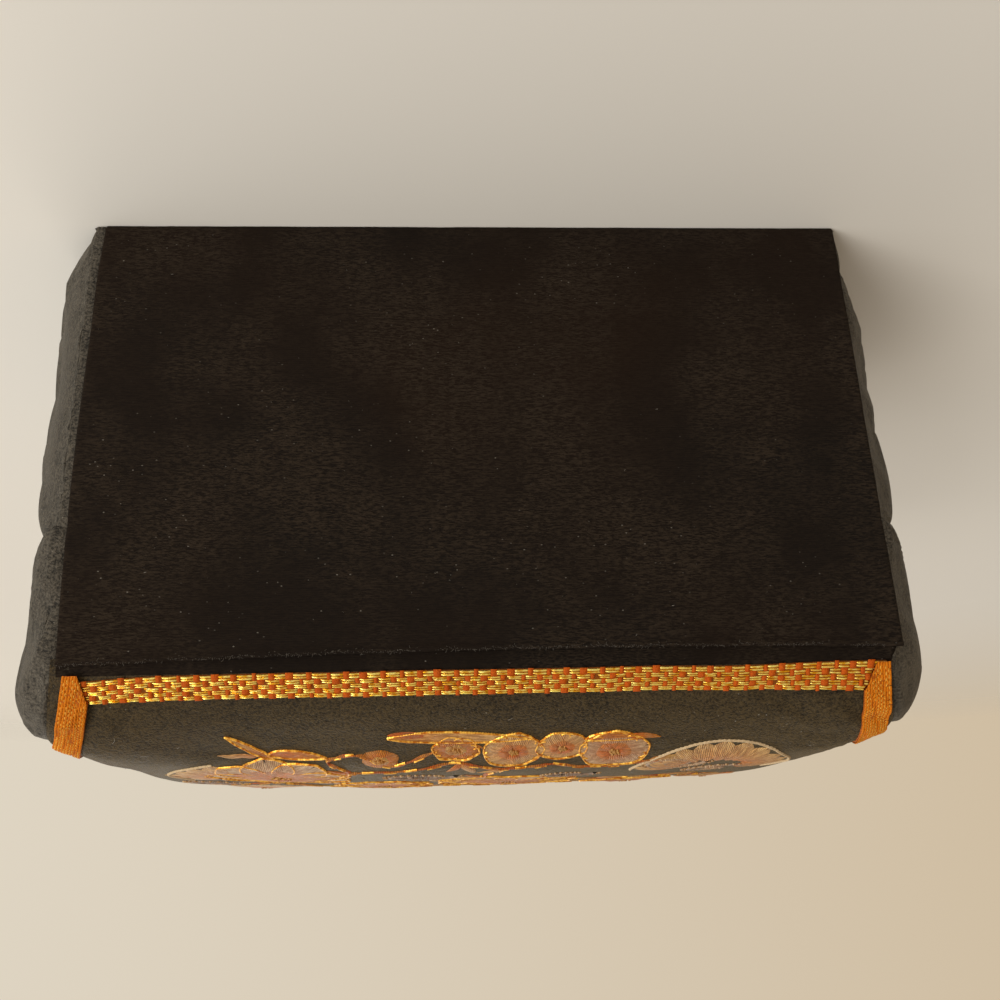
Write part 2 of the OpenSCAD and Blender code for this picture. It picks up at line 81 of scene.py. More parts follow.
HALF_W = node_box("base_board")[1][0]
HALF_D = node_box("base_board")[1][1]
RIM = node_box("back_board")[1][2]
BACK_Y = node_box("back_cloth")[1][1]
LID_TOP = node_box("lid_back_cloth")[1][2]
LINER_OUT = -node_box("liner_left")[0][0]
print("width", 2 * HALF_W, "depth", 2 * HALF_D, "rim", RIM, "top edge", LID_TOP)

# %% [markdown]
# ## From shape to mesh
# Cloth is easiest to think of as a grid of points: one direction along the cloth, one across it. A grid
# could be unwrapped, subdivided or simulated later. Each grid here becomes one mesh, and a Solidify
# modifier then gives the cloth its thickness, so that no piece is a bare sheet.

# %% Mesh helpers
def grid_faces(rows, cols, start=0, loop=False):
    """Faces of a grid of points that are listed row by row."""
    last = cols if loop else cols - 1
    faces = []
    for r in range(rows - 1):
        for c in range(last):
            a = start + r * cols + c
            b = start + r * cols + (c + 1) % cols
            faces.append((a, b, b + cols, a + cols))
    return faces


def new_piece(name, points, faces, material, smooth=True):
    """An object made of points in millimetres."""
    mesh = bpy.data.meshes.new(name)
    mesh.from_pydata((np.asarray(points, float) * MM).tolist(), [], faces)
    mesh.update()
    mesh.polygons.foreach_set("use_smooth", [smooth] * len(mesh.polygons))
    mesh.materials.append(material)
    piece = bpy.data.objects.new(name, mesh)
    bpy.context.scene.collection.objects.link(piece)
    return piece


def thicken(piece, thickness, side=-1):
    """Real cloth thickness, in millimetres; side -1 keeps the given points as the outer face."""
    solid = piece.modifiers.new("thickness", "SOLIDIFY")
    solid.thickness = thickness * MM
    solid.offset = side
    return piece


def mix(a, b, k):
    return a + (b - a) * k


def eased(n):
    """Steps from 0 to 1 that crowd towards both ends."""
    return (1 - np.cos(np.pi * np.arange(n + 1) / n)) / 2


def bumps(p, size, seed=0.0):
    """Smooth random value from -1 to 1 at a point, with features of this size in millimetres."""
    return noise.noise(Vector((p[0] / size + seed, p[1] / size - seed, p[2] / size + 2 * seed)))


# %% [markdown]
# ## Shader maths as expressions
# A node tree can be wired by hand, link by link. Here one small class wraps a socket and overloads the
# operators, so that a finish reads as a formula: `1 - ribs * 0.4` adds its own Math nodes.

# %% A socket that can be calculated with
class Value:
    def __init__(self, shader, socket):
        self.shader, self.socket = shader, socket

    def math(self, operation, *others):
        return self.shader.add("ShaderNodeMath", {"operation": operation}, [self, *others])

    def __add__(self, other): return self.math("ADD", other)
    def __radd__(self, other): return self.math("ADD", other)
    def __sub__(self, other): return self.math("SUBTRACT", other)
    def __rsub__(self, other): return self.math("MULTIPLY", -1).math("ADD", other)
    def __mul__(self, other): return self.math("MULTIPLY", other)
    def __rmul__(self, other): return self.math("MULTIPLY", other)
    def __truediv__(self, other): return self.math("DIVIDE", other)
    def power(self, exponent): return self.math("POWER", exponent)
    def sine(self): return self.math("SINE")
    def size(self): return self.math("ABSOLUTE")
    def part(self): return self.math("FRACT")
    def below(self): return self.math("FLOOR")
    def over(self, limit): return self.math("GREATER_THAN", limit)
    def held(self): return self.shader.add("ShaderNodeClamp", {}, [self])


class Finish:
    """A material whose nodes are added by expressions."""

    def __init__(self, name, **settings):
        self.material = bpy.data.materials.new(name)
        self.material.use_nodes = True
        self.nodes = self.material.node_tree.nodes
        self.links = self.material.node_tree.links
        self.surface = self.nodes["Principled BSDF"]
        for socket, value in settings.items():
            self.surface.inputs[socket.replace("_", " ")].default_value = value

    def put(self, socket, value):
        if isinstance(value, Value):
            self.links.new(value.socket, socket)
        elif value is not None:
            socket.default_value = value

    def add(self, kind, settings, inputs=(), out=0):
        """Any node: its settings first, then the values or links of its sockets."""
        node = self.nodes.new(kind)
        for key, value in settings.items():
            setattr(node, key, value)
        pairs = inputs.items() if isinstance(inputs, dict) else enumerate(inputs)
        for key, value in pairs:
            self.put(node.inputs[key], value)
        return Value(self, node.outputs[out])

    def place(self):
        """Position on the piece, in millimetres."""
        spot = self.add("ShaderNodeTexCoord", {}, out="Object")
        return self.add("ShaderNodeVectorMath", {"operation": "SCALE"}, {0: spot, "Scale": 1 / MM})

    def across(self, spot, scale):
        """Place stretched by a factor along each axis."""
        return self.add("ShaderNodeVectorMath", {"operation": "MULTIPLY"}, [spot, scale])

    def axes(self, spot):
        split = self.add("ShaderNodeSeparateXYZ", {}, [spot])
        outs = split.socket.node.outputs
        return [Value(self, outs[i]) for i in range(3)]

    def grain(self, spot, scale, detail=2.0, roughness=0.5):
        """Noise around 0.5, with this many features to a millimetre."""
        sockets = {"Vector": spot, "Scale": scale, "Detail": detail, "Roughness": roughness}
        return self.add("ShaderNodeTexNoise", {}, sockets)

    def sharp(self, value, gain):
        """A value around 0.5, spread out from there and held between 0 and 1."""
        return ((value - 0.5) * gain + 0.5).held()

    def blend(self, share, first, second):
        """Mix of two colours."""
        node = self.nodes.new("ShaderNodeMix")
        node.data_type = "RGBA"
        self.put(node.inputs[0], share)
        self.put(node.inputs[6], first if isinstance(first, Value) else (*first, 1))
        self.put(node.inputs[7], second if isinstance(second, Value) else (*second, 1))
        return Value(self, node.outputs[2])

    def colour(self, value):
        self.put(self.surface.inputs["Base Color"], value if isinstance(value, Value) else (*value, 1))

    def rough(self, value):
        self.put(self.surface.inputs["Roughness"], value)

    def relief(self, height, depth_mm, strength=1.0):
        """Bump from a height between 0 and 1 that stands for this depth in millimetres."""
        sockets = {"Height": height, "Distance": depth_mm * MM, "Strength": strength}
        self.put(self.surface.inputs["Normal"], self.add("ShaderNodeBump", {}, sockets))


def fold_wave(value, pitch):
    """Smooth wave from 0 to 1 with this pitch in millimetres."""
    return (value * (2 * math.pi / pitch)).sine() * 0.5 + 0.5


# %% [markdown]
# ## Black cotton
# The back is a cheap plain weave with a heavier thread across than down, so it shows as short fine dashes
# across the box. It is matt and has faded a little unevenly, towards brown. The dashes could be an even
# wave, but that reads as corduroy, so they come from noise that is stretched along the thread, and only a
# trace of an even rib lies under them. Dust is a sparse cell pattern whose grains differ in strength.

# %% Cotton
RIB_PITCH = 0.5
DUST = (0.33, 0.30, 0.25)


def dust_grains(f, spot, density, patches):
    """Grains of dust, more of them in some places, each with a strength of its own."""
    grains = f.add("ShaderNodeTexVoronoi", {}, {"Vector": spot, "Scale": density})
    some = f.sharp(f.grain(spot, patches, 2.0), 5.0)
    strength = f.grain(spot, 0.9 * density, 0.0)
    return (0.085 - grains).over(0.0) * some * f.sharp(strength, 4.0)


# A shade below 1 darkens every colour of the cloth; such a darker copy is painted shade.
def cotton_finish(name, shade=1.0):
    f = Finish(name, Specular_IOR_Level=0.07)
    spot = f.place()
    x, y, z = f.axes(spot)
    drift = f.grain(f.across(spot, (0.5, 1, 0.8)), 1.0) * 0.6
    ribs = fold_wave(z + y + drift, RIB_PITCH)
    dashes = f.sharp(f.grain(f.across(spot, (0.9, 1.0, 3.6)), 0.9, 3.0, 0.65), 4.5)
    worn = f.sharp(f.grain(spot, 0.035, 3.0), 5.0)
    cloud = f.sharp(f.grain(spot, 0.014, 2.0), 2.5)
    weave = dashes * (worn * 0.85 + 0.22) + ribs * 0.10
    black, brown = (0.0066, 0.0054, 0.0046), (0.0125, 0.0068, 0.0040)
    dark = f.blend(cloud, tuple(shade * c for c in black), tuple(shade * c for c in brown))
    cloth = f.blend(weave.held(), dark, tuple(shade * c for c in (0.0320, 0.0225, 0.0150)))
    dust = dust_grains(f, f.across(spot, (1.0, 1.0, 1.6)), 0.45, 0.03)
    f.colour(f.blend(dust * 0.45 * shade, cloth, DUST))
    f.rough(0.86 + dashes * 0.1)
    f.relief(weave, 0.12)
    return f.material


# %% [markdown]
# ## Black satin
# Satin has long threads on its face, so it shines softly along them and shows the wadding's every dent.
# This one is old: the floats have begun to fray, so it looks like a fine grey-brown grain from close by
# and has creases where it was pulled. A low, broad sheen over a dark colour gives the shine, and a strong
# grain with small creases in the relief keeps it from looking like plastic.

# %% Satin
def satin_finish(name, dark, light, tint, sheen=0.07):
    f = Finish(name, Specular_IOR_Level=0.16, Sheen_Weight=sheen, Sheen_Roughness=0.45, Sheen_Tint=(*tint, 1))
    spot = f.place()
    threads = f.sharp(f.grain(f.across(spot, (1.0, 1.0, 1.25)), 1.7, 2.0, 0.7), 4.0)
    fuzz = f.sharp(f.grain(spot, 1.1, 3.0, 0.7), 2.6)
    cloud = f.sharp(f.grain(spot, 0.045, 3.0), 2.0)
    creases = (1 - (f.grain(f.across(spot, (1.0, 1.0, 1.3)), 0.12, 2.0) - 0.5).size() * 14).held()
    # The creases also darken the colour a little: painted shade in the creases.
    cloth = f.blend((cloud * 0.22 + threads * 0.60 + fuzz * 0.30 - creases * 0.12 - 0.10).held(), dark, light)
    dust = dust_grains(f, spot, 0.5, 0.05)
    f.colour(f.blend(dust * 0.6, cloth, DUST))
    f.rough(0.52 + threads * 0.16)
    f.relief(threads * 0.7 + fuzz * 0.3 - creases * 0.5, 0.16)
    return f.material


# %% [markdown]
# ## Red lining
# The lining is thin red satin pasted over board, with a small woven lattice in the same red, a common
# ground pattern for such boxes. The lattice only turns the threads, so it shows in the gloss and barely
# in the colour.

# %% Lining
def lining_finish():
    f = Finish("lining", Specular_IOR_Level=0.4, Sheen_Weight=0.3, Sheen_Roughness=0.3)
    spot = f.place()
    x, y, z = f.axes(spot)
    pitch = 5.0
    u = x + y * 0.7 + z * 0.7
    v = x * -1 + y * 0.7 + z * 0.7
    lines = ((fold_wave(u, pitch) - 0.86).over(0.0) + (fold_wave(v, pitch) - 0.86).over(0.0)).held()
    knots = (fold_wave(u, pitch) * fold_wave(v, pitch) * -1 + 0.06).over(0.0)
    figure = (lines + knots).held()
    threads = f.grain(f.across(spot, (1, 1, 0.3)), 3.0, 2.0)
    cloud = f.grain(spot, 0.05, 2.0)
    ground = f.blend((cloud + threads * 0.4 - 0.2).held(), (0.20, 0.008, 0.016), (0.33, 0.014, 0.026))
    f.colour(f.blend(figure * 0.55, ground, (0.46, 0.035, 0.04)))
    f.rough(0.5 - figure * 0.16 + threads * 0.1)
    f.relief(figure * 0.5 + threads * 0.6, 0.06)
    return f.material


def ribbon_finish():
    f = Finish("ribbon", Specular_IOR_Level=0.4, Sheen_Weight=0.2)
    spot = f.place()
    x, y, z = f.axes(spot)
    ribs = fold_wave(y + z, 0.6)
    f.colour(f.blend(ribs * 0.4, (0.34, 0.012, 0.022), (0.50, 0.03, 0.04)))
    f.rough(0.45 + ribs * 0.15)
    f.relief(ribs, 0.05)
    return f.material


# %% [markdown]
# ## Braid: foil and orange thread
# The braid is woven from narrow gold foil strips, laid in pairs, and orange cotton that crosses them and
# holds them down. Foil is metal with small creases; the thread is rough and matt.

# %% Foil and thread
def foil_finish(name, base, second, roughness):
    f = Finish(name, Metallic=1.0)
    spot = f.place()
    crease = f.grain(spot, 1.6, 2.0)
    tone = f.sharp(f.grain(f.across(spot, (0.5, 1, 1)), 1.5, 2.0), 4.0)
    f.colour(f.blend(tone, base, second))
    f.rough(roughness + crease * 0.2)
    f.relief(crease, 0.10)
    return f.material


def thread_finish(name, base, second, scale=3.0):
    f = Finish(name, Specular_IOR_Level=0.18)
    spot = f.place()
    twist = f.sharp(f.grain(spot, scale, 3.0), 2.0)
    f.colour(f.blend(twist, base, second))
    f.rough(0.62 + twist * 0.2)
    f.relief(twist, 0.10)
    return f.material


# %% [markdown]
# ## Silk stitches
# Embroidery is flat silk laid side by side. Each petal's own grid gives the mesh a UV map in
# millimetres along and across it, so that the stitches can run the way a hand would lay them, and a
# colour per point lets one petal shade from pale to deep, as the embroiderer's needle-painting does.

# %% Silk
STITCH_PITCH = 0.42


def silk_finish():
    f = Finish("silk", Specular_IOR_Level=0.2)
    dye = f.add("ShaderNodeVertexColor", {"layer_name": "dye"})
    lay = f.add("ShaderNodeUVMap", {"uv_map": "lay"})
    u, v, w = f.axes(f.add("ShaderNodeVectorMath", {"operation": "SCALE"}, {0: lay, "Scale": 100.0}))
    spot = f.place()
    fray = f.sharp(f.grain(spot, 1.3, 3.0), 2.5)
    strand = fold_wave(v + fray * 0.2, STITCH_PITCH)
    laid = f.add("ShaderNodeCombineXYZ", {}, [u * 0.28, v * 1.5, f.grain(spot, 0.08) * 12])
    streak = f.sharp(f.grain(laid, 1.0, 2.0), 5.0)
    warm = f.blend(streak * 0.55, dye, (0.26, 0.075, 0.014))
    worn = f.blend((f.sharp(f.grain(spot, 0.35, 2.0), 5.0) * 0.35), warm, (0.46, 0.25, 0.11))
    # The grooves between the strands are darkened towards deep brown: painted shade between the stitches.
    f.colour(f.blend((1 - strand).power(2.0) * 0.5, worn, (0.09, 0.028, 0.008)))
    f.rough(0.34 + fray * 0.3)
    f.relief(strand + fray * 0.6, 0.16)
    return f.material


def board_finish():
    f = Finish("greyboard")
    spot = f.place()
    fleck = f.grain(spot, 1.4, 4.0, 0.7)
    f.colour(f.blend(fleck, (0.34, 0.31, 0.27), (0.52, 0.49, 0.43)))
    f.rough(0.9)
    f.relief(fleck, 0.1)
    return f.material


def mirror_finish():
    f = Finish("mirror", Metallic=1.0)
    spot = f.place()
    dust = f.grain(spot, 0.8, 3.0)
    f.colour(f.blend((dust * 2 - 1.1).held() * 0.1, (0.86, 0.88, 0.88), (0.7, 0.7, 0.68)))
    f.rough((dust * 2 - 1.1).held() * 0.12)
    return f.material


COTTON = cotton_finish("cotton")
# A darker copy of the cotton for the crown's skirt under the back cloth's fold: painted shade in that recess.
SHADED_COTTON = cotton_finish("cotton_painted_shade", 0.8)
SATIN = satin_finish("satin", (0.008, 0.0068, 0.0053), (0.128, 0.109, 0.082), (1.0, 0.88, 0.70))
CROWN_SATIN = satin_finish("crown_satin", (0.0044, 0.0028, 0.0012), (0.088, 0.059, 0.024), (1.0, 0.74, 0.38), 0.10)
LINING = lining_finish()
RIBBON = ribbon_finish()
GOLD = foil_finish("gold_foil", (0.74, 0.34, 0.012), (1.0, 0.84, 0.24), 0.16)
GOLD_CORD = foil_finish("gold_cord", (0.46, 0.13, 0.008), (1.0, 0.60, 0.11), 0.30)
ORANGE = thread_finish("orange_thread", (0.47, 0.105, 0.001), (0.74, 0.225, 0.002))
FLAME_THREAD = thread_finish("flame_thread", (0.34, 0.046, 0.001), (0.62, 0.115, 0.002))
# Ground thread of the back and front braids: partly its own dark thread, partly painted shade in the gaps between the
# raised threads.
UNDER = thread_finish("ground_thread_painted_shade", (0.10, 0.026, 0.001), (0.30, 0.080, 0.003))
DEEP = thread_finish("deep_thread", (0.30, 0.060, 0.002), (0.46, 0.110, 0.003))
POINTS = thread_finish("foil_points", (0.70, 0.28, 0.01), (0.90, 0.52, 0.10))
BEADING = thread_finish("beading", (0.50, 0.33, 0.16), (0.72, 0.55, 0.34))
FUZZ = thread_finish("fuzz", (0.05, 0.042, 0.034), (0.16, 0.14, 0.115))
LINT = thread_finish("lint", (0.20, 0.185, 0.155), (0.40, 0.37, 0.32))
SILK = silk_finish()
BOARD = board_finish()
MIRROR = mirror_finish()
print("finishes:", len(bpy.data.materials))

# %% [markdown]
# ## The back, one piece of cotton
# One cloth runs from the underside to just below the lid's top edge, and on the box its bend is the hinge.
# It could be two pieces with a strip between, but it is one grid, with a soft dip along the hinge, a
# little proud over the boards. Its sides lap over the padding and its top edge is folded under, neither
# level nor straight, because the maker cut and pasted it by eye.

# %% Cotton back
HINGE_Z = frame["joints"][0]["pos_m"][2] / MM
HINGE_STRIP = node_box("hinge_cloth")[1][2] - node_box("hinge_cloth")[0][2]
FOLD_DROP, FOLD_LEAN, FOLD_BOW = 2.5, -0.75, 1.35
LAP_HEIGHTS = (0, 12, 62, 83, 106)
LAPS = {-1: (-1.9, -1.2, -0.6, -1.1, -1.9), 1: (0.5, 0.7, 1.5, 1.9, 2.3)}


def fold_z(x):
    """Height of the cloth's folded top edge."""
    k = x / HALF_W
    return LID_TOP - FOLD_DROP + FOLD_LEAN * k + FOLD_BOW * k * k + 0.14 * bumps((x, 0, 0), 12, 5.0)


def cloth_edge(side, z):
    """Where the cloth's side edge lies, past the boards' edge."""
    lap = float(np.interp(z, LAP_HEIGHTS, LAPS[side]))
    return side * (HALF_W + lap + 0.14 * bumps((z, side * 9.0, 0), 14, 2.0) + 0.05 * bumps((z, side, 0), 2.2, 7.0))


def cloth_y(x, z):
    """The cloth's outer face: nearly flat, with a soft dip along the hinge."""
    lift = 0.10 * bumps((x, 0, z), 14, 3.1) + 0.05 * bumps((x, 0, z), 5, 8.2)
    dip = 0.16 * math.exp(-(((z - HINGE_Z) / 1.3) ** 2)) + 0.10 * math.exp(-(((z - HINGE_Z) / 4.5) ** 2))
    return BACK_Y + lift - dip


# %% [markdown]
# The grid's rows are heights and its columns are shares of the width. The outer columns round the cloth's
# cut edge down on to the satin, and the last rows draw the fold: a thin ridge where the doubled cloth has
# dried stiff, then the turn.

# %% Weave the back
SIDE_TURN = [(0.35, -0.62), (0.04, -0.50), (0.0, -0.26), (0.14, -0.07), (0.45, 0.0)]
FOOT_TURN = [(0.12, -0.9), (0.3, -0.15)]
FOLD_TURN = [(-1.3, 0.03), (-0.8, 0.24), (-0.45, 0.36), (-0.15, 0.28), (0.05, 0.0), (0.0, -0.35), (-0.5, -0.55)]


def back_cotton():
    low = np.arange(0.8, HINGE_Z - 4, 1.2)
    bend = np.linspace(HINGE_Z - 4, HINGE_Z + 4, 21)
    high = np.linspace(HINGE_Z + 5, LID_TOP - FOLD_DROP - 2.0, 22)
    shares = np.arange(1, 180) / 180
    rows = [(z, dy, 0.0) for z, dy in FOOT_TURN] + [(z, 0.0, 0.0) for z in [*low, *bend, *high]]
    rows += [(LID_TOP - FOLD_DROP, dy, dz) for dz, dy in FOLD_TURN]
    grid = []
    for n, (z, dy, dz) in enumerate(rows):
        fold = n >= len(rows) - len(FOLD_TURN)
        left, right = cloth_edge(-1, z), cloth_edge(1, z)
        spots = [(left + inner, down) for inner, down in SIDE_TURN]
        spots += [(mix(left, right, k), 0.0) for k in shares]
        spots += [(right - inner, down) for inner, down in reversed(SIDE_TURN)]
        row = []
        for x, down in spots:
            share = max(0.0, (z - HINGE_Z - 5) / (LID_TOP - FOLD_DROP - HINGE_Z - 5))
            at = (z if not fold else LID_TOP - FOLD_DROP) + share * (fold_z(x) - LID_TOP + FOLD_DROP) + dz
            crimp = 0.0 if not fold else 0.16 * bumps((x, dz * 2.0, 0), 5.0, 8.8) + 0.10 * bumps((x, dz, 0), 1.8, 3.8)
            row.append((x, cloth_y(x, at) + dy * (1 + crimp) + crimp * 0.6 + down, at + 0.5 * crimp))
        grid.append(row)
    points = [p for row in grid for p in row]
    piece = new_piece("back_cotton", points, grid_faces(len(grid), len(grid[0])), COTTON)
    thicken(piece, 0.25)
    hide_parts("back_cloth", "hinge_cloth", "lid_back_cloth")
    reach = HINGE_STRIP / 2
    (HINGE_Z - reach) * MM
    (HINGE_Z + reach) * MM
    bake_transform(piece)
    wide = float(np.mean([cloth_edge(1, z) - cloth_edge(-1, z) for z in range(106)]))
    print("back cotton:", len(points), "points,", round(wide), "mm wide")


back_cotton()

# %% [markdown]
# ## The padded ends and front
# The satin wraps the left end, the front and the right end in one piece. Seen from above it is a path:
# it swells from the back corner, runs along the end, turns the front corner and crosses the front. Seen
# from the side it swells between two edges where it is pulled down tight. Both are formulas, so one grid
# covers the whole wrap. A cushion like this could be left smooth, but pulled satin puckers along its
# edges, so noise that is stretched across the edge adds short folds there and broad dents between.

# %% The wrap's path
END_FULL, FRONT_FULL = 11.0, 10.0
END_ROLL, ROLL_POWER = 19.0, 1.6
PRESSED, START_FULL = 2.0, 0.9
CROWN_DEPTH = 2 * HALF_D + 4.0
CROWN_BACK_HALF = HALF_W - 0.5
CROWN_FLARE, CROWN_FLARE_D, CROWN_CORNER = 8.0, 39.0, 9.0
CROWN_HALF_W = CROWN_BACK_HALF + CROWN_FLARE
CROWN_EDGE = LID_TOP + 0.8
CROWN_FULL, CROWN_SIDE_FULL, CROWN_END_FULL = 21.7, 17.8, 10.5
CROWN_SHOULDER, CROWN_BULGE, CROWN_BULGE_END, CROWN_BULGE_REACH = 14.5, 4.5, 9.9, 7.9


def crown_half(d):
    """Half width of the crown at depth d from the back."""
    if d <= CROWN_FLARE_D:
        return CROWN_BACK_HALF + CROWN_FLARE * math.sin(math.pi / 2 * d / CROWN_FLARE_D)
    if d <= CROWN_DEPTH - CROWN_CORNER:
        return CROWN_HALF_W
    bend = CROWN_CORNER**2 - (d - CROWN_DEPTH + CROWN_CORNER) ** 2
    return CROWN_HALF_W - CROWN_CORNER + math.sqrt(max(0.0, bend))


def crown_z(x, d):
    """Height of the crown at x and depth d."""
    side = min(1.0, abs(x) / CROWN_HALF_W)
    w = min(1.0, abs(2 * d / CROWN_DEPTH - 1))
    ridge = CROWN_FULL - (CROWN_FULL - CROWN_SIDE_FULL) * side**2
    ridge -= (CROWN_SIDE_FULL - CROWN_END_FULL) * side**CROWN_SHOULDER
    power = mix(CROWN_BULGE, CROWN_BULGE_END, side**CROWN_BULGE_REACH)
    return CROWN_EDGE + (ridge - (CROWN_EDGE - LID_TOP)) * (1 - w**power)


def crown_at(x, d, rise=0.0):
    """Point of the crown's surface, raised along its normal."""
    step = 0.4
    dx = (crown_z(x + step, d) - crown_z(x - step, d)) / (2 * step)
    d0, d1 = max(0.0, d - step), min(CROWN_DEPTH, d + step)
    dd = (crown_z(x, d1) - crown_z(x, d0)) / (d1 - d0)
    normal = np.array([-dx, dd, 1.0])
    normal /= np.linalg.norm(normal)
    return np.array([x, HALF_D - d, crown_z(x, d)]) + rise * normal


def wrap_path():
    """Columns of the wrap: foot on the board, outward direction, fullness, seam with the crown."""
    columns = []
    inner = CROWN_HALF_W - CROWN_CORNER
    ends = [END_ROLL * (1 - math.cos(math.pi / 2 * i / 22)) for i in range(22)]
    ends += list(np.linspace(END_ROLL, 2 * HALF_D, 42))
    for d in ends:
        seam_d = d * (CROWN_DEPTH - CROWN_CORNER) / (2 * HALF_D)
        round_off = (1 - (1 - min(1.0, d / END_ROLL)) ** ROLL_POWER) ** (1 / ROLL_POWER)
        full = max(START_FULL, END_FULL * round_off)
        seam = (-crown_half(seam_d), HALF_D - seam_d)
        columns.append([(-HALF_W, HALF_D - d), (-1.0, 0.0), full, seam])
    for i in range(1, 14):
        a = math.pi / 2 * i / 14
        swell = np.array([-END_FULL * math.cos(a), -FRONT_FULL * math.sin(a)])
        full = float(np.linalg.norm(swell))
        seam = (-inner - CROWN_CORNER * math.cos(a), HALF_D - CROWN_DEPTH + CROWN_CORNER * (1 - math.sin(a)))
        columns.append([(-HALF_W, -HALF_D), tuple(swell / full), full, seam])
    for k in np.linspace(0, 1, 48):
        columns.append([(-HALF_W * (1 - k), -HALF_D), (0.0, -1.0), FRONT_FULL,
                        (-inner * (1 - k), HALF_D - CROWN_DEPTH)])
    flip = [[(-f[0], f[1]), (-o[0], o[1]), n, (-s[0], s[1])] for f, o, n, s in reversed(columns[:-1])]
    return columns + flip


WRAP = wrap_path()


def path_length(columns):
    """Distance along the wrap at each column, measured at the fullest line."""
    spots = [np.array(f) + n * np.array(o) for f, o, n, s in columns]
    steps = [0.0] + [float(np.linalg.norm(b - a)) for a, b in zip(spots, spots[1:])]
    return np.cumsum(steps)


ALONG = path_length(WRAP)
print("wrap:", len(WRAP), "columns,", round(float(ALONG[-1])), "mm round")

# %% [markdown]
# Each pad is then a grid over that path. The first and last rows are the turn-ins: the satin goes round
# the board's edge and is pasted down behind, so that no raw board shows when the lid is open.

# %% The two pads
PAD_FOOT, PAD_TOP = 1.0, RIM - 0.15
LID_FOOT = RIM + 0.5
LID_EXTRA = 1.3
BODY_BULGE, LID_BULGE = (2.7, 7.0), (4.0, 2.0)
SEAM_DROP = 0.5
MORE_AT = (0.0, 0.12, 0.3, 0.5, 0.75, 1.0)
BODY_MORE = {-1: (1.1, 3.0, 1.3, 0.5, 1.4, 0.8), 1: (-3.4, -4.2, -0.8, -1.6, -0.2, 1.2)}
LID_MORE = {-1: (1.3, 1.2, 0.1, -0.2, 0.7, 1.2), 1: (0.6, 0.3, -0.4, -0.6, 0.9, 0.4)}


def swell(t, powers):
    """Share of the fullness at height share t; the two powers shape the lower and the upper half."""
    power = powers[0] if t < 0.5 else powers[1]
    return (1 - abs(2 * t - 1) ** power) ** (1 / power)


def uneven(more, out, t):
    """The maker packed one end fuller than the other: what that adds on the ends, none on the front."""
    return abs(out[0]) * float(np.interp(t, MORE_AT, more[-1 if out[0] < 0 else 1]))


def pucker(along, z, edge_gap, seed):
    """Short folds beside a tight edge, broad dents further in, in millimetres."""
    near = math.exp(-edge_gap / 9.0)
    far = 1 - math.exp(-edge_gap / 7.0)
    folds = bumps((along, z * 0.25, 0), 4.2, seed) * 0.42 + bumps((along, z * 0.2, 0), 9.0, seed + 4) * 0.4
    dents = bumps((along, z, 0), 26, seed + 7) * 0.55 + bumps((along * 0.8, z * 1.3, 0), 11, seed + 2) * 0.16
    drag = bumps((along + z * 0.8, (z - along) * 0.22, 0), 7.5, seed + 9) * 0.13
    return near * (1 - math.exp(-edge_gap / 1.6)) * folds + far * (dents + drag)


def body_pad(column, along, t):
    foot, out, full, seam = column
    z = mix(PAD_FOOT, PAD_TOP, t)
    gap = min(z - PAD_FOOT, PAD_TOP - z)
    share = min(1.0, full / 8.0)
    base = min(PRESSED, full) * min(1.0, 0.35 + t / 0.15)
    away = base + (full - base + share * uneven(BODY_MORE, out, t)) * swell(t, BODY_BULGE)
    away += share * pucker(along, z, gap, 1.7)
    return (foot[0] + away * out[0], foot[1] + away * out[1], z)


# %% [markdown]
# The lid's left back corner is where the satin was gathered round a sharp turn, and where a hand takes
# hold of the lid. It is crumpled there: a hollow below, a bulge above, and small sharp creases between.

# %% Crumpled corner
CRUMPLE_REACH, LEAST_PROUD = 16.0, 0.4


def crumple(foot, t):
    """Extra height of the lid's padding near its left back corner."""
    if foot[0] > 0:
        return 0.0
    near = math.exp(-((HALF_D - foot[1]) / CRUMPLE_REACH) ** 2)
    hollow = -1.5 * math.exp(-(((t - 0.58) / 0.13) ** 2))
    bulge = 1.3 * math.exp(-(((t - 0.86) / 0.08) ** 2))
    crease = 0.55 * abs(bumps((foot[1] * 1.2, t * 30, 0), 4.0, 6.6)) + 0.3 * abs(bumps((foot[1] + t * 30, t * 44, 0), 2.6, 2.2))
    return near * (hollow + bulge + (crease - 0.25) * swell(t, (2.0, 2.0)))


def lid_pad(column, along, t):
    foot, out, full, seam = column
    base = min(PRESSED, full)
    f = np.array(foot) + base * np.array(out)
    lean = float(((f + np.array(seam)) / 2 - np.array(foot)) @ np.array(out))
    z1 = crown_z(seam[0], HALF_D - seam[1]) - SEAM_DROP
    z = mix(LID_FOOT, z1, t)
    gap = min(z - LID_FOOT, z1 - z)
    share = min(1.0, full / 8.0)
    rest = max(0.0, full + LID_EXTRA - lean + share * uneven(LID_MORE, out, t))
    away = rest * swell(t, LID_BULGE) + share * pucker(along, z, gap, 5.3) + crumple(foot, t)
    spot = mix(f, np.array(seam), t) + away * np.array(out)
    proud = float((spot - np.array(foot)) @ np.array(out))
    spot = spot + max(0.0, LEAST_PROUD - proud) * np.array(out)
    return (spot[0], spot[1], z)


# %% [markdown]
# ## Let the satin settle
# A formula gives a pad its size, but cloth that is pulled over wadding also finds small folds of its own.
# Blender's cloth solver makes those: the pad's grid is the cloth, its turned-in rows are pinned where they
# are pasted, a little pressure stands for the wadding, and the cloth is cut slightly too large. Each point
# may leave the formula's surface by no more than a cap, so the pad keeps its size and its neighbours.

# %% Cloth solver
SETTLE_FRAMES = 20
PRESSURE = 1.6


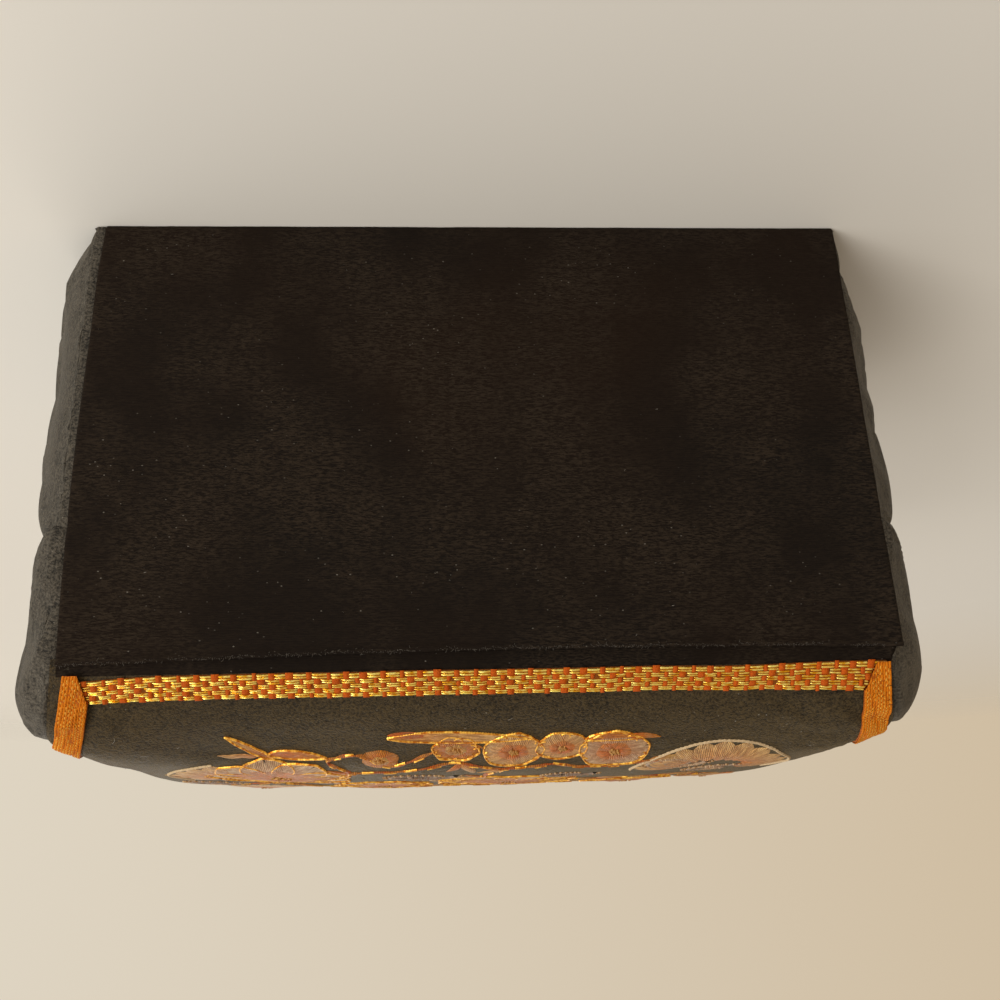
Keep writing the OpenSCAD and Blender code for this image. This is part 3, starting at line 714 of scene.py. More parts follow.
def settle(piece, pinned, cap, slack):
    """Runs the solver on a piece and writes the result into its mesh; the cap is in millimetres."""
    count = len(piece.data.vertices)
    before = np.zeros(count * 3)
    piece.data.vertices.foreach_get("co", before)
    group = piece.vertex_groups.new(name="pasted")
    group.add([int(i) for i in pinned], 1.0, "REPLACE")
    cloth = piece.modifiers.new("settle", "CLOTH")
    cloth.settings.vertex_group_mass = "pasted"
    cloth.settings.quality = 6
    cloth.settings.mass = 0.15
    cloth.settings.tension_stiffness = 12
    cloth.settings.compression_stiffness = 12
    cloth.settings.shear_stiffness = 4
    cloth.settings.bending_stiffness = 0.05
    cloth.settings.shrink_min = -slack
    cloth.settings.use_pressure = True
    cloth.settings.uniform_pressure_force = PRESSURE
    cloth.settings.effector_weights.gravity = 0
    cloth.collision_settings.use_collision = False
    cloth.point_cache.frame_end = SETTLE_FRAMES
    scene = bpy.context.scene
    for number in range(1, SETTLE_FRAMES + 1):
        scene.frame_set(number)
    after = np.zeros(count * 3)
    settled = piece.evaluated_get(bpy.context.evaluated_depsgraph_get()).data
    settled.vertices.foreach_get("co", after)
    move = (after - before).reshape(-1, 3)
    length = np.linalg.norm(move, axis=1)
    limit = cap * MM
    held = limit * np.tanh(length / limit) / np.maximum(length, 1e-9)
    piece.modifiers.remove(cloth)
    piece.data.vertices.foreach_set("co", (before.reshape(-1, 3) + move * held[:, None]).ravel())
    piece.data.update()
    piece.vertex_groups.remove(group)
    scene.frame_set(1)
    return float(length.max() / MM)


# %% [markdown]
# Each pad is a grid over the wrap's path. The first and last rows are the turn-ins: the satin goes round
# the board's edge and is pasted down behind, so that no raw board shows when the lid is open.

# %% Make the two pads
RIM_IN = HALF_W - LINER_OUT - 0.1
PAD_CAP, PAD_SLACK = 0.9, 0.013


UNDER_LAP = 3.0


def wrap_piece(name, pad, ts, start_turn, end_turn):
    """A pad's grid with its turn-ins, each a list of (offset from the board's face, height)."""
    rows = []
    for offset, z in start_turn:
        rows.append([(f[0] + offset * o[0], f[1] + offset * o[1], z) for f, o, n, s in WRAP])
    for t in ts:
        rows.append([pad(c, a, t) for c, a in zip(WRAP, ALONG)])
    for turn in end_turn:
        rows.append([turn(c) for c in WRAP])
    for n, row in enumerate(rows):
        (x0, y0, z0), (x1, y1, z1) = row[0], row[-1]
        reach = HALF_W - UNDER_LAP - 0.03 * n
        row[:0] = [(-reach, HALF_D + 0.15, z0), (x0 + 0.25, HALF_D + 0.14, z0)]
        row.extend([(x1 - 0.25, HALF_D + 0.14, z1), (reach, HALF_D + 0.15, z1)])
    points = [p for row in rows for p in row]
    cols = len(rows[0])
    piece = new_piece(name, points, grid_faces(len(rows), cols), SATIN)
    piece.data.flip_normals()
    free = range(len(start_turn) + 1, len(rows) - len(end_turn) - 1)
    pinned = [r * cols + c for r in range(len(rows)) for c in range(cols) if r not in free or not 3 < c < cols - 4]
    moved = settle(piece, pinned, PAD_CAP, PAD_SLACK)
    print(name, "settled by", round(moved, 2), "mm")
    thicken(piece, 0.2)
    return piece


def body_rim(offset, z):
    return lambda c: (c[0][0] + offset * c[1][0], c[0][1] + offset * c[1][1], z)


def pads():
    ts = eased(56)
    rim = [body_rim(0.8, RIM + 0.02), body_rim(0.1, RIM + 0.12), body_rim(-RIM_IN, RIM + 0.14)]
    body = wrap_piece("body_pad", body_pad, ts, [(-0.8, 0.35), (0.4, 0.32), (0.9, 0.55)], rim)
    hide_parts("body_satin", "left_wadding", "front_wadding", "right_wadding")
    lid_rim = RIM + 0.27
    tuck = [lambda c: (c[3][0] * 0.985, c[3][1] + (0.8 if c[3][1] < -HALF_D else 0),
                       crown_z(c[3][0], HALF_D - c[3][1]) - 1.2)]
    lid = wrap_piece("lid_pad", lid_pad, ts, [(-2.6, lid_rim), (0.1, lid_rim), (0.8, RIM + 0.32)], tuck)
    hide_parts("lid_satin", "lid_left_wadding", "lid_front_wadding", "lid_right_wadding")
    for piece, owner in ((body, "box"), (lid, "lid")):
        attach(piece, owner)
    print("pads:", len(body.data.vertices), "and", len(lid.data.vertices), "points")


pads()

# %% [markdown]
# ## The crown
# The lid's top is a bent card with wadding over it, under one piece of satin. Its surface is the same
# height formula that the frame was built from, at a finer step, with soft dents where the wadding lies
# unevenly. Its edge goes down behind the pads.

# %% Crown satin
CROWN_TUCK, TUCK_IN = 1.8, 1.2
BRAID_SPAN, END_PILLOW = 7.0, 0.7
SKIRT_DROPS = (5.0, 3.4, 2.2, 1.2, 0.5)
SKIRT_Y = HALF_D + 0.20
CROWN_SINK = 1.6
END_SAG = {-1: 1.9, 1: 2.1}
CROWN_CAP, CROWN_SLACK = 0.8, 0.012


def sag(x, d, half):
    """How far the crown's ends have sunk, past the shoulder that faces the back."""
    deep = max(0.0, min(1.0, (d - 12) / 22, (CROWN_DEPTH - d - 8) / 14))
    near = (abs(x) / half) ** 4 * min(1.0, (half - abs(x)) / 3.0)
    return END_SAG[-1 if x < 0 else 1] * near * deep * deep * (3 - 2 * deep)


def crown_dent(x, d, half):
    """Height of the wadding's unevenness, which fades out at the tight edge."""
    edge = min(1.0, min(d, CROWN_DEPTH - d, half - abs(x)) / 9.0)
    inside = max(0.0, min(1.0, (half - BRAID_SPAN - abs(x)) / 4.0)) * max(0.0, 1 - (half - abs(x) - 12.0) / 30.0)
    pillow = END_PILLOW * min(1.0, inside) * math.sin(math.pi * d / CROWN_DEPTH) ** 0.6
    slack = CROWN_SINK * min(1.0, max(0.0, d - 4) / 10, edge) * (1 - (x / half) ** 2) + sag(x, d, half)
    return pillow - slack + edge * (0.34 * bumps((x, d, 0), 19, 2.2) + 0.16 * bumps((x * 0.4, d, 0), 7, 6.1))


def crown_row(d):
    """One row across the crown, with its turned-in ends."""
    half = crown_half(d) - 0.2
    row = [crown_at(x, d, crown_dent(x, d, half)) for x in half * mix(-1, 1, eased(150))]
    deep = min(1.0, 0.25 + d / 6.0)
    sides = [row[0] + (TUCK_IN * deep, 0, -CROWN_TUCK * deep), row[-1] + (-TUCK_IN * deep, 0, -CROWN_TUCK * deep)]
    return [sides[0], *row, sides[1]]


def crown_skirt():
    """Rows from the crown's back edge down behind the back cotton, with the small folds of a turn-in."""
    rows = []
    for k, drop in enumerate(SKIRT_DROPS):
        row = crown_row(0.0)[1:-1]
        for p in row:
            fold = 0.16 * bumps((p[0], 3.0 * k, 0), 7.0, 3.3) + 0.10 * bumps((p[0] * 2.0, drop * 4.0, 0), 6.0, 9.0)
            p[1] = SKIRT_Y + (0.16 + fold) * (drop < 3)
            p[2] -= drop
        right = row[-1].copy()
        right[0] = mix(right[0], cloth_edge(1, LID_TOP) - 0.5, mix(1.0, 0.15, k / (len(SKIRT_DROPS) - 1)))
        rows.append([row[0] + (-0.05, -0.5, 0), *row, right])
    return rows


def crown():
    """The crown's piece, and a search tree of its surface for what is laid on it."""
    ds = CROWN_DEPTH * (0.004 + 0.996 * eased(90))
    rows = crown_skirt() + [crown_row(float(d)) for d in ds]
    rows.append([p + (0, 1.2, -CROWN_TUCK) for p in crown_row(CROWN_DEPTH)])
    points = [p for row in rows for p in row]
    cols = len(rows[0])
    faces = grid_faces(len(rows), cols)
    piece = new_piece("crown_pad", points, faces, CROWN_SATIN)
    piece.data.materials.append(SHADED_COTTON)
    skirt = len(SKIRT_DROPS) * (cols - 1)
    # Skirt faces under the back cloth's fold get the darker cotton: painted shade in the recess.
    left, right = cloth_edge(-1, LID_TOP) - 0.1, cloth_edge(1, LID_TOP)
    painted_shade_faces = [int(i < skirt and left < points[face[0]][0] < right) for i, face in enumerate(faces)]
    piece.data.polygons.foreach_set("material_index", painted_shade_faces)
    piece.data.flip_normals()
    free_rows = range(len(SKIRT_DROPS) + 6, len(rows) - 6)
    pinned = [r * cols + c for r in range(len(rows)) for c in range(cols)
              if r not in free_rows or not 6 < c < cols - 7]
    moved = settle(piece, pinned, CROWN_CAP, CROWN_SLACK)
    settled = np.zeros(len(points) * 3)
    piece.data.vertices.foreach_get("co", settled)
    tree = BVHTree.FromPolygons((settled.reshape(-1, 3) / MM).tolist(), faces)
    thicken(piece, 0.18)
    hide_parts("crown_satin", "crown_wadding")
    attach(piece, "lid")
    print("crown:", len(points), "points, settled by", round(moved, 2), "mm")
    return tree


CROWN_TREE = crown()


def on_crown(x, d, rise):
    """Point of the finished crown at x and depth d, raised from the satin by this much."""
    base = crown_at(x, d)
    out = crown_at(x, d, 1.0) - base
    spot, normal, index, distance = CROWN_TREE.ray_cast(Vector(base + 4.0 * out), Vector(-out), 8.0)
    return base + rise * out if spot is None else np.array(spot) + rise * out


# %% [markdown]
# ## The braid
# Four strips frame the crown. A ribbon with a texture would do from afar, but foil catches the light
# thread by thread, so every thread here is a small raised pillow. On the back and front strips, pairs of
# gold threads run along the ribbon and orange stitches hold them down in rows like bricks, with a darker
# ground between, whose colour is partly its own dark thread and partly painted shade in the gaps. The end
# strips are the ribbon's other face: close columns of orange stitches with a fine grid of pale points.
# Each thread is laid on the finished crown, so it follows the settled satin.

# %% Braid paths
DRIFT_AT = (0.0, 22.0, 70.0)
DRIFT = {-1: (1.2, -0.3, 0.0), 1: (1.2, -1.2, -0.9)}
END_DIP = {-1: 0.55, 1: -0.30}
BRAID_W, BRAID_T, BRAID_RISE, BRAID_INSET, END_INSET = 6.0, 0.8, 0.12, 0.5, 0.15
LAP_RISE, LAP_END, MITRE = 0.75, 7.0, 3.6


def braid_side(d):
    return crown_half(d) - mix(1.9, 0.6, min(1.0, d / CROWN_FLARE_D))


def far_depth(x):
    """Depth that lies one braid width up the slope from the back strip's outer edge."""
    lo, hi = BRAID_INSET, BRAID_INSET + BRAID_W
    start = crown_at(x, BRAID_INSET)
    for step in range(14):
        mid = (lo + hi) / 2
        if np.linalg.norm(crown_at(x, mid) - start) < BRAID_W:
            lo = mid
        else:
            hi = mid
    return lo


SPAN = braid_side(BRAID_INSET) - 0.7
FAR_X = np.linspace(-SPAN, SPAN, 61)
FAR_D = np.array([far_depth(float(x)) for x in FAR_X])


def long_strip(front):
    """Point on the back or front strip: u along it in millimetres, v across it from 0 to 1."""
    def at(u, v, rise):
        x = min(SPAN, max(-SPAN, u - SPAN))
        d = mix(BRAID_INSET, float(np.interp(x, FAR_X, FAR_D)), v) + 0.16 * bumps((x, 0, 0), 21, 4.0)
        d += (1 - v) * sum(dip * math.exp(-(((x - side * SPAN) / 17.0) ** 2)) for side, dip in END_DIP.items())
        return on_crown(x + DRIFT[1][0], CROWN_DEPTH - d if front else d, BRAID_RISE + rise)
    return at, 2 * SPAN


def end_strip(side):
    """Point on an end strip, which laps over the long strips at its two ends."""
    length = CROWN_DEPTH - 2 * END_INSET

    def at(u, v, rise):
        slant = MITRE * max(0.0, 2 * v - 1)
        d = END_INSET + slant + min(length, max(0.0, u)) * (1 - 2 * slant / length)
        corner = min(1.0, max(0.0, (LAP_END + 2.5 - min(d, CROWN_DEPTH - d)) / 2.5))
        lap = LAP_RISE * corner * corner * (3 - 2 * corner)
        x = braid_side(d) - BRAID_W * v + 0.10 * bumps((0, d, side), 17, 6.0)
        ends = float(np.interp(min(d, CROWN_DEPTH - d), DRIFT_AT, DRIFT[side]))
        return on_crown(side * x + ends, d, BRAID_RISE + lap + rise)
    return at, length


# %% [markdown]
# Thousands of small pillows would be slow as objects, so they are gathered into one mesh for each strip,
# and each face keeps the number of its thread's material.

# %% Gather pillows into one mesh
class Weave:
    def __init__(self, name, strip, materials):
        self.name, self.materials = name, materials
        self.at, self.length = strip
        self.points, self.faces, self.kinds = [], [], []

    def pillow(self, u0, u1, v0, v1, low, high, kind, nu=4, nv=3):
        """Raised thread over a stretch of the strip; low and high are shares of the braid's thickness."""
        start = len(self.points)
        for j in range(nv + 1):
            across = math.sqrt(max(0.0, 1 - (2 * j / nv - 1) ** 2))
            for i in range(nu + 1):
                h = mix(low, high, (1 - (2 * i / nu - 1) ** 4) * across) * BRAID_T
                self.points.append(self.at(mix(u0, u1, i / nu), mix(v0, v1, j / nv), h))
        self.faces += grid_faces(nv + 1, nu + 1, start)
        self.kinds += [kind] * (nu * nv)

    def ground(self, steps, kind):
        """The ribbon under the threads: a thin slab with rounded edges."""
        start = len(self.points)
        shares = (0.0, 0.01, 0.06, 0.25, 0.5, 0.75, 0.94, 0.99, 1.0)
        heights = (-0.3, 0.2, 0.44, 0.5, 0.5, 0.5, 0.44, 0.2, -0.3)
        for v, h in zip(shares, heights):
            for u in np.linspace(0, self.length, steps):
                self.points.append(self.at(u, v, h * BRAID_T))
        self.faces += grid_faces(len(shares), steps, start)
        self.kinds += [kind] * ((len(shares) - 1) * (steps - 1))

    def finish(self, node):
        piece = new_piece(self.name, self.points, self.faces, self.materials[0])
        for material in self.materials[1:]:
            piece.data.materials.append(material)
        piece.data.polygons.foreach_set("material_index", self.kinds)
        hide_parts(node)
        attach(piece, "lid")
        print(self.name, round(self.length), "mm long,", len(self.faces), "faces")


# %% Back and front strips
ROWS = 5
DASH_PITCH, STITCH = 3.85, 1.15
THREADS = (0.27, 0.73)
THREAD_HALF = 0.036


def woven_braid(name, strip, node):
    weave = Weave(name, strip, [UNDER, GOLD, FLAME_THREAD])
    weave.ground(220, 0)
    for r in range(ROWS):
        low, high = r / ROWS, (r + 1) / ROWS
        for k in range(-1, int(weave.length / DASH_PITCH) + 2):
            loose = 0.3 if r in (0, ROWS - 1) else 0.75
            shift = loose * bumps((k * 7.3, r * 3.1, 0), 2.0, 1.3)
            u0 = (k + 0.5 * (r % 2)) * DASH_PITCH + shift
            u1 = u0 + DASH_PITCH - STITCH * (1 + 0.35 * math.sin(4.7 * k + 2.9 * r))
            a, b = max(0.0, u0 - 0.15), min(weave.length, u1 + 0.15)
            if b - a > 0.5:
                for n, share in enumerate(THREADS):
                    v = mix(low, high, share) + 0.005 * math.sin(2.3 * k + n)
                    top = 0.92 + 0.10 * math.sin(5.1 * k + r + 9 * share)
                    weave.pillow(a, b, v - THREAD_HALF, v + THREAD_HALF, 0.40, top, 1, 5, 3)
            c0, c1 = u1, u0 + DASH_PITCH
            if c0 > 0.1 and c1 < weave.length - 0.1:
                out = 0.03 + 0.02 * math.sin(3.7 * k + r)
                v0 = low - (out if r == 0 else 0.016)
                v1 = high + (out if r == ROWS - 1 else 0.016)
                weave.pillow(c0 - 0.05, c1 + 0.05, v0, v1, 0.5, 1.0, 2, 4, 6)
    weave.finish(node)


# %% End strips
COLUMNS, KNIT_PITCH = 10, 0.72


def knitted_braid(name, strip, node):
    """Columns of small slanting stitches, with a point of foil between each pair."""
    weave = Weave(name, strip, [DEEP, ORANGE, POINTS])
    weave.ground(170, 0)
    for c in range(COLUMNS):
        v0, v1 = (c + 0.04) / COLUMNS, (c + 0.96) / COLUMNS
        for k in range(int(weave.length / KNIT_PITCH)):
            u0 = (k + 0.12 * math.sin(1.7 * k + c)) * KNIT_PITCH
            weave.pillow(u0, u0 + 1.05 * KNIT_PITCH, v0, v1, 0.50, 0.80, 1, 3, 3)
    for c in range(1, COLUMNS):
        for k in range(int(weave.length / KNIT_PITCH) - 1):
            u0 = (k + 0.55 + 0.5 * (c % 2)) * KNIT_PITCH
            v = (c + 0.06 * math.sin(2.9 * k + c)) / COLUMNS
            if math.sin(12.9 * k + 7.7 * c) > -0.75:
                weave.pillow(u0, u0 + 0.66 * KNIT_PITCH, v - 0.026, v + 0.026, 0.5, 0.90, 2, 2, 2)
    weave.finish(node)


woven_braid("back_braid", long_strip(False), "braid_back")
woven_braid("front_braid", long_strip(True), "braid_front")
knitted_braid("left_braid", end_strip(-1), "braid_left")
knitted_braid("right_braid", end_strip(1), "braid_right")

# %% [markdown]
# ## Embroidery
# The crown carries a spray of flowers in orange, peach, cream and grey silk with gold outlines, a common
# kind of design for such boxes, drawn here afresh. Every petal and leaf is a thin domed grid laid on the
# finished crown. A petal is drawn by its root, its direction, its length and its width; its outline, a
# gold cord couched round it, goes into a second mesh.

# %% Stitched shapes
class Embroidery:
    def __init__(self):
        self.points, self.faces, self.dyes, self.lays = [], [], [], []

    def grid(self, spots, heights, dyes, lays, nu, nv):
        start = len(self.points)
        for (x, d), h in zip(spots, heights):
            self.points.append(on_crown(float(x), float(d), 0.06 + h))
        self.dyes += dyes
        self.lays += lays
        self.faces += grid_faces(nu, nv, start)

    def petal(self, root, angle, length, width, inner, outer, rise=0.3, bend=0.0, tip=0.6, notch=0.0, edge=None):
        """A petal or leaf from root towards angle, shaded from the inner to the outer colour."""
        nu, nv = 13, 9
        spots, heights, dyes, lays = [], [], [], []
        for i in range(nu):
            u = i / (nu - 1)
            half = width / 2 * max(0.02, math.sin(math.pi * u ** tip)) ** 0.75
            arch = 0.35 + 0.65 * math.sin(math.pi * min(1, u * 1.02) ** 0.8)
            for j in range(nv):
                v = 2 * j / (nv - 1) - 1
                along = length * (u - notch * (1 - abs(v)) * u**6)
                a = angle + bend * u
                x = root[0] + along * math.cos(a) - v * half * math.sin(a)
                d = root[1] + along * math.sin(a) + v * half * math.cos(a)
                spots.append((x, d))
                heights.append(rise * math.sqrt(max(0.0, 1 - v * v)) * arch - 0.03)
                k = min(1.0, max(0.0, u * 1.15 + 0.12 * math.sin(9 * v)))
                dyes.append(mix(np.array(inner), np.array(outer), k))
                lays.append((along, v * half))
        self.grid(spots, heights, dyes, lays, nu, nv)
        if edge:
            first = 0 if length > 3 * width or length > 9 else nu // 2
            rim = [spots[i * nv] for i in range(first, nu)]
            rim += [spots[i * nv + nv - 1] for i in reversed(range(first, nu))]
            edge.cord(rim, rise + 0.12)

    def band(self, line, widths, colours, rise=0.3, across=5):
        """A satin-stitched band along a line of points; stitches lie across it."""
        line = np.array(line, float)
        steps = np.linalg.norm(np.diff(line, axis=0), axis=1)
        run = np.concatenate([[0], np.cumsum(steps)])
        spots, heights, dyes, lays = [], [], [], []
        for i, p in enumerate(line):
            ahead = line[min(i + 1, len(line) - 1)] - line[max(i - 1, 0)]
            ahead = ahead / max(1e-6, np.linalg.norm(ahead))
            side = np.array([-ahead[1], ahead[0]])
            for j in range(across):
                v = 2 * j / (across - 1) - 1
                spots.append(p + side * v * widths[i] / 2)
                heights.append(rise * math.sqrt(max(0.0, 1 - v * v)) - 0.03)
                dyes.append(np.array(colours[i]))
                lays.append((v * widths[i] / 2, run[i]))
        self.grid(spots, heights, dyes, lays, len(line), across)


    def cord(self, line, rise, width=0.46, twist=0.62):
        """A couched cord: it swells and narrows with its twist, and lies a little unevenly."""
        line = np.array(line, float)
        run = np.concatenate([[0], np.cumsum(np.linalg.norm(np.diff(line, axis=0), axis=1))])
        count = max(6, int(run[-1] / (twist / 3)))
        at = np.linspace(0, run[-1], count)
        path = [(float(np.interp(t, run, line[:, 0])) + 0.10 * bumps((t, line[0][0], 0), 1.7, 1.1),
                 float(np.interp(t, run, line[:, 1])) + 0.10 * bumps((t, line[0][1], 5), 1.7, 2.1)) for t in at]
        wave = [1 + 0.38 * math.sin(2 * math.pi * t / twist) for t in at]
        self.band(path, [width * w for w in wave], [(1, 1, 1)] * count, rise, 4)


CREAM, PEACH, ROSE = (0.90, 0.56, 0.22), (0.82, 0.27, 0.05), (0.66, 0.21, 0.06)
FLAME, AMBER, STRAW = (0.62, 0.105, 0.008), (0.70, 0.24, 0.02), (0.72, 0.44, 0.13)
MIST, SLATE, PEARL = (0.44, 0.35, 0.27), (0.20, 0.175, 0.15), (0.76, 0.52, 0.30)
silk, gilt, pearls = Embroidery(), Embroidery(), Embroidery()


# %% [markdown]
# The flowers are built from petals in rings, the leaves from single petals, the stems and clouds from
# bands that follow a curve. The same few shapes, repeated at several sizes, are what an embroiderer uses.

# %% Flowers and leaves
def bloom(x, d, size, rings, turn=0.0, edged=False):
    """Full flower: rings of petals from the outside in, then a knotted centre."""
    for reach, count, inner, outer, lift in rings:
        for k in range(count):
            a = turn + 2 * math.pi * (k + 0.5 * (count % 2)) / count
            root = (x + 0.10 * size * math.cos(a), d + 0.10 * size * math.sin(a))
            width = 2.3 * size * reach * math.sin(math.pi / count)
            silk.petal(root, a, size * reach, width, inner, outer, lift, bend=0.12, tip=1.25, notch=0.16,
                       edge=gilt if edged and reach == 1.0 else None)
        turn += 0.45
    for k in range(9):
        a = 2.4 * k
        r = 0.055 * size * math.sqrt(k)
        silk.petal((x + r * math.cos(a) - 0.4, d + r * math.sin(a)), 0.0, 0.95, 0.9, STRAW, AMBER, 0.8)


def fan(x, d, size, start, stop, count):
    """Part of an open flower seen from the side: long pale petals on an arc, with a beaded edge."""
    for k in range(count):
        a = mix(start, stop, k / (count - 1))
        root = (x + 0.42 * size * math.cos(a), d + 0.42 * size * math.sin(a))
        width = 1.25 * size * abs(stop - start) / count
        silk.petal(root, a, 0.58 * size, width, PEACH if k % 3 == 1 else ROSE, CREAM, 0.35, tip=1.2, notch=0.1)
    turns = np.linspace(start - 0.08, stop + 0.08, 8 * count)
    pearls.cord([(x + (size + 0.3) * math.cos(a), d + (size + 0.3) * math.sin(a)) for a in turns], 0.4, 0.7, 1.1)


def leaf(x, d, angle, length, inner=AMBER, outer=STRAW, width=0.30, bend=0.3, edged=False):
    silk.petal((x, d), angle, length, length * width, inner, outer, 0.3, bend=bend, tip=0.8,
               edge=gilt if edged else None)


# %% Stems and clouds
def vine(points, width, colour, second):
    """Stem in small slanting stitches along a smooth line through the points."""
    pts = np.array(points, float)
    t = np.linspace(0, len(pts) - 1, 14 * (len(pts) - 1))
    base = np.minimum(t.astype(int), len(pts) - 2)
    line = []
    for value, i in zip(t, base):
        p0, p1, p2, p3 = (pts[max(0, i - 1)], pts[i], pts[i + 1], pts[min(len(pts) - 1, i + 2)])
        s = value - i
        line.append(0.5 * (2 * p1 + (p2 - p0) * s + (2 * p0 - 5 * p1 + 4 * p2 - p3) * s**2
                           + (3 * p1 - p0 - 3 * p2 + p3) * s**3))
    colours = [mix(np.array(colour), np.array(second), 0.5 + 0.5 * math.sin(i * 0.55)) for i in range(len(line))]
    silk.band(line, [width * (0.75 + 0.45 * math.sin(i * 0.9)) for i in range(len(line))], colours, 0.35)
    for n, k in enumerate(range(0, len(line) - 4, 5)):
        side = 0.3 * width * (-1) ** n
        gilt.cord([p + (0.3 * side, side) for p in line[k:k + 4]], 0.5, 0.5)


def cloud(x, d, size, turns, colour, second, flip=1):
    """Scrolled cloud: a band that winds in, with a line of small beads outside it."""
    line, widths, colours, beads = [], [], [], []
    steps = int(26 * turns)
    for i in range(steps + 1):
        k = i / steps
        a = 2 * math.pi * turns * k
        r = size * (1 - 0.82 * k)
        line.append((x + r * math.cos(a), d + flip * 0.7 * r * math.sin(a)))
        widths.append(size * 0.2 * (1 - 0.45 * k))
        colours.append(mix(np.array(colour), np.array(second), 0.5 + 0.5 * math.sin(6 * k * math.pi)))
        if k < 0.62:
            out = r + size * 0.17
            beads.append((x + out * math.cos(a), d + flip * 0.7 * out * math.sin(a)))
    silk.band(line, widths, colours, 0.35)
    for b in beads:
        silk.petal((b[0] - 0.45, b[1]), 0.0, 0.9, 0.8, PEARL, CREAM, 0.4)


# %% [markdown]
# The design runs across the crown, leaving a plain margin inside the braid. Flowers come in three sizes
# so that the eye has somewhere to rest, and the stems tie them together. Towards the hinge, where the lid
# bends down, a long gilt leaf, a few small blossoms and one open fan stand close together.

# %% Draw the design
FULL = [(1.0, 9, ROSE, PEARL, 0.30), (0.72, 7, PEACH, ROSE, 0.45), (0.44, 5, FLAME, PEACH, 0.60)]
WARM = [(1.0, 8, PEACH, CREAM, 0.30), (0.74, 7, FLAME, PEACH, 0.45), (0.46, 5, FLAME, AMBER, 0.65)]
SMALL = [(1.0, 5, PEACH, CREAM, 0.32), (0.55, 5, FLAME, PEACH, 0.5)]
PALE = [(1.0, 5, ROSE, PEARL, 0.32), (0.55, 5, FLAME, PEACH, 0.5)]
SPARK = [(1.0, 6, FLAME, AMBER, 0.32), (0.5, 5, AMBER, STRAW, 0.5)]


def design():
    vine([(-64, 66), (-52, 58), (-38, 46), (-30, 32), (-34, 24), (-27, 21), (-20, 26), (-10, 21)], 1.3, FLAME, AMBER)
    vine([(-30, 32), (-18, 30), (-4, 27), (6, 30), (18, 29), (30, 31), (40, 27)], 1.2, FLAME, AMBER)
    vine([(6, 30), (2, 44), (12, 56), (32, 62), (48, 58), (60, 64)], 1.4, FLAME, STRAW)
    vine([(-52, 58), (-40, 72), (-20, 80), (2, 82), (24, 88), (44, 84)], 1.4, AMBER, STRAW)
    bloom(-47, 40, 16, FULL, edged=True)
    bloom(8, 60, 17, WARM, 0.3, edged=True)
    bloom(-24, 68, 12, FULL, 0.5, edged=True)
    bloom(42, 78, 12, WARM, 0.2, edged=True)
    bloom(-58, 84, 10, SMALL, 0.5)
    bloom(-2, 96, 8, PALE, 0.2)
    bloom(66, 86, 7, SMALL, 0.9)
    bloom(8, 21, 6.5, SMALL, 0.4, edged=True)
    bloom(19, 20, 5.5, SMALL, 1.0, edged=True)
    bloom(31, 22, 7.5, PALE, 0.2, edged=True)
    bloom(-5, 20, 5.0, SPARK, 0.1, edged=True)
    bloom(-22, 23, 4.0, SPARK, 0.6)
    fan(-56, 42, 17, 2.6, 4.4, 6)
    fan(56, 38, 19, -3.0, 0.5, 13)
    cloud(-14, 40, 9, 1.6, MIST, SLATE)
    cloud(46, 30, 8, 1.6, MIST, PEARL)
    cloud(58, 44, 8, 1.4, PEARL, MIST, -1)
    cloud(-68, 62, 8, 1.4, MIST, SLATE, -1)
    cloud(22, 42, 7, 1.4, MIST, SLATE)


def leaves():
    leaf(-46, 23, -2.25, 13, FLAME, STRAW, 0.17, -0.1, edged=True)
    leaf(-47, 21, -0.10, 13, FLAME, AMBER, 0.30, 0.2, edged=True)
    leaf(-49, 21.5, 3.10, 9, ROSE, CREAM, 0.20, 0.1)
    leaf(-20, 14.5, 0.02, 31, AMBER, CREAM, 0.12, 0.02, edged=True)
    leaf(-20, 13.5, 0.05, 13, FLAME, FLAME, 0.20, 0.1)
    leaf(-9, 15.5, 0.25, 11, FLAME, AMBER, 0.26, 0.1)
    leaf(24, 17, -0.35, 13, FLAME, AMBER, 0.22, 0.3, edged=True)
    leaf(33, 16, -0.15, 8, FLAME, AMBER, 0.26, 0.2)
    for x, d, a, n in [(-30, 32, 2.4, 8), (-4, 27, 0.9, 9), (6, 30, 2.1, 8), (40, 27, -0.7, 7), (2, 44, 2.7, 10),
                       (32, 62, -0.9, 9), (48, 58, -0.4, 10), (60, 64, 0.5, 10), (-64, 66, 2.4, 9), (-40, 72, 2.0, 10),
                       (-20, 82, 0.9, 10), (24, 88, 0.6, 10), (2, 82, -0.6, 9), (22, 72, 0.4, 9), (-8, 58, -2.2, 10),
                       (-70, 46, -2.4, 8), (-36, 56, 1.3, 8), (56, 78, -0.5, 9), (70, 70, 1.2, 8)]:
        leaf(x, d, a, n)
        leaf(x, d, a + 0.9, n * 0.7, FLAME, AMBER)


design()
leaves()


# %% Silk and gilt meshes
def stitched_piece(name, work, material):
    piece = new_piece(name, work.points, work.faces, material)
    mesh = piece.data
    dye = mesh.color_attributes.new("dye", "FLOAT_COLOR", "POINT")
    flat = np.ones((len(work.dyes), 4), np.float32)
    flat[:, :3] = np.array(work.dyes)
    dye.data.foreach_set("color", flat.ravel())
    lay = mesh.uv_layers.new(name="lay")
    loops = np.zeros(len(mesh.loops), np.int32)
    mesh.loops.foreach_get("vertex_index", loops)
    lay.data.foreach_set("uv", (np.array(work.lays, np.float32)[loops] / 100.0).ravel())
    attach(piece, "lid")
    print(name + ":", len(work.faces), "faces")


stitched_piece("embroidery", silk, SILK)
stitched_piece("embroidery_outlines", gilt, GOLD_CORD)
stitched_piece("embroidery_beading", pearls, BEADING)

# %% [markdown]
# ## Lint
# Black cloth shows every stray fibre. A texture could paint them flat, but real ones stand off the cloth
# and curl, so each is a thin tube that wanders over the surface. They ride on whatever they lie on.

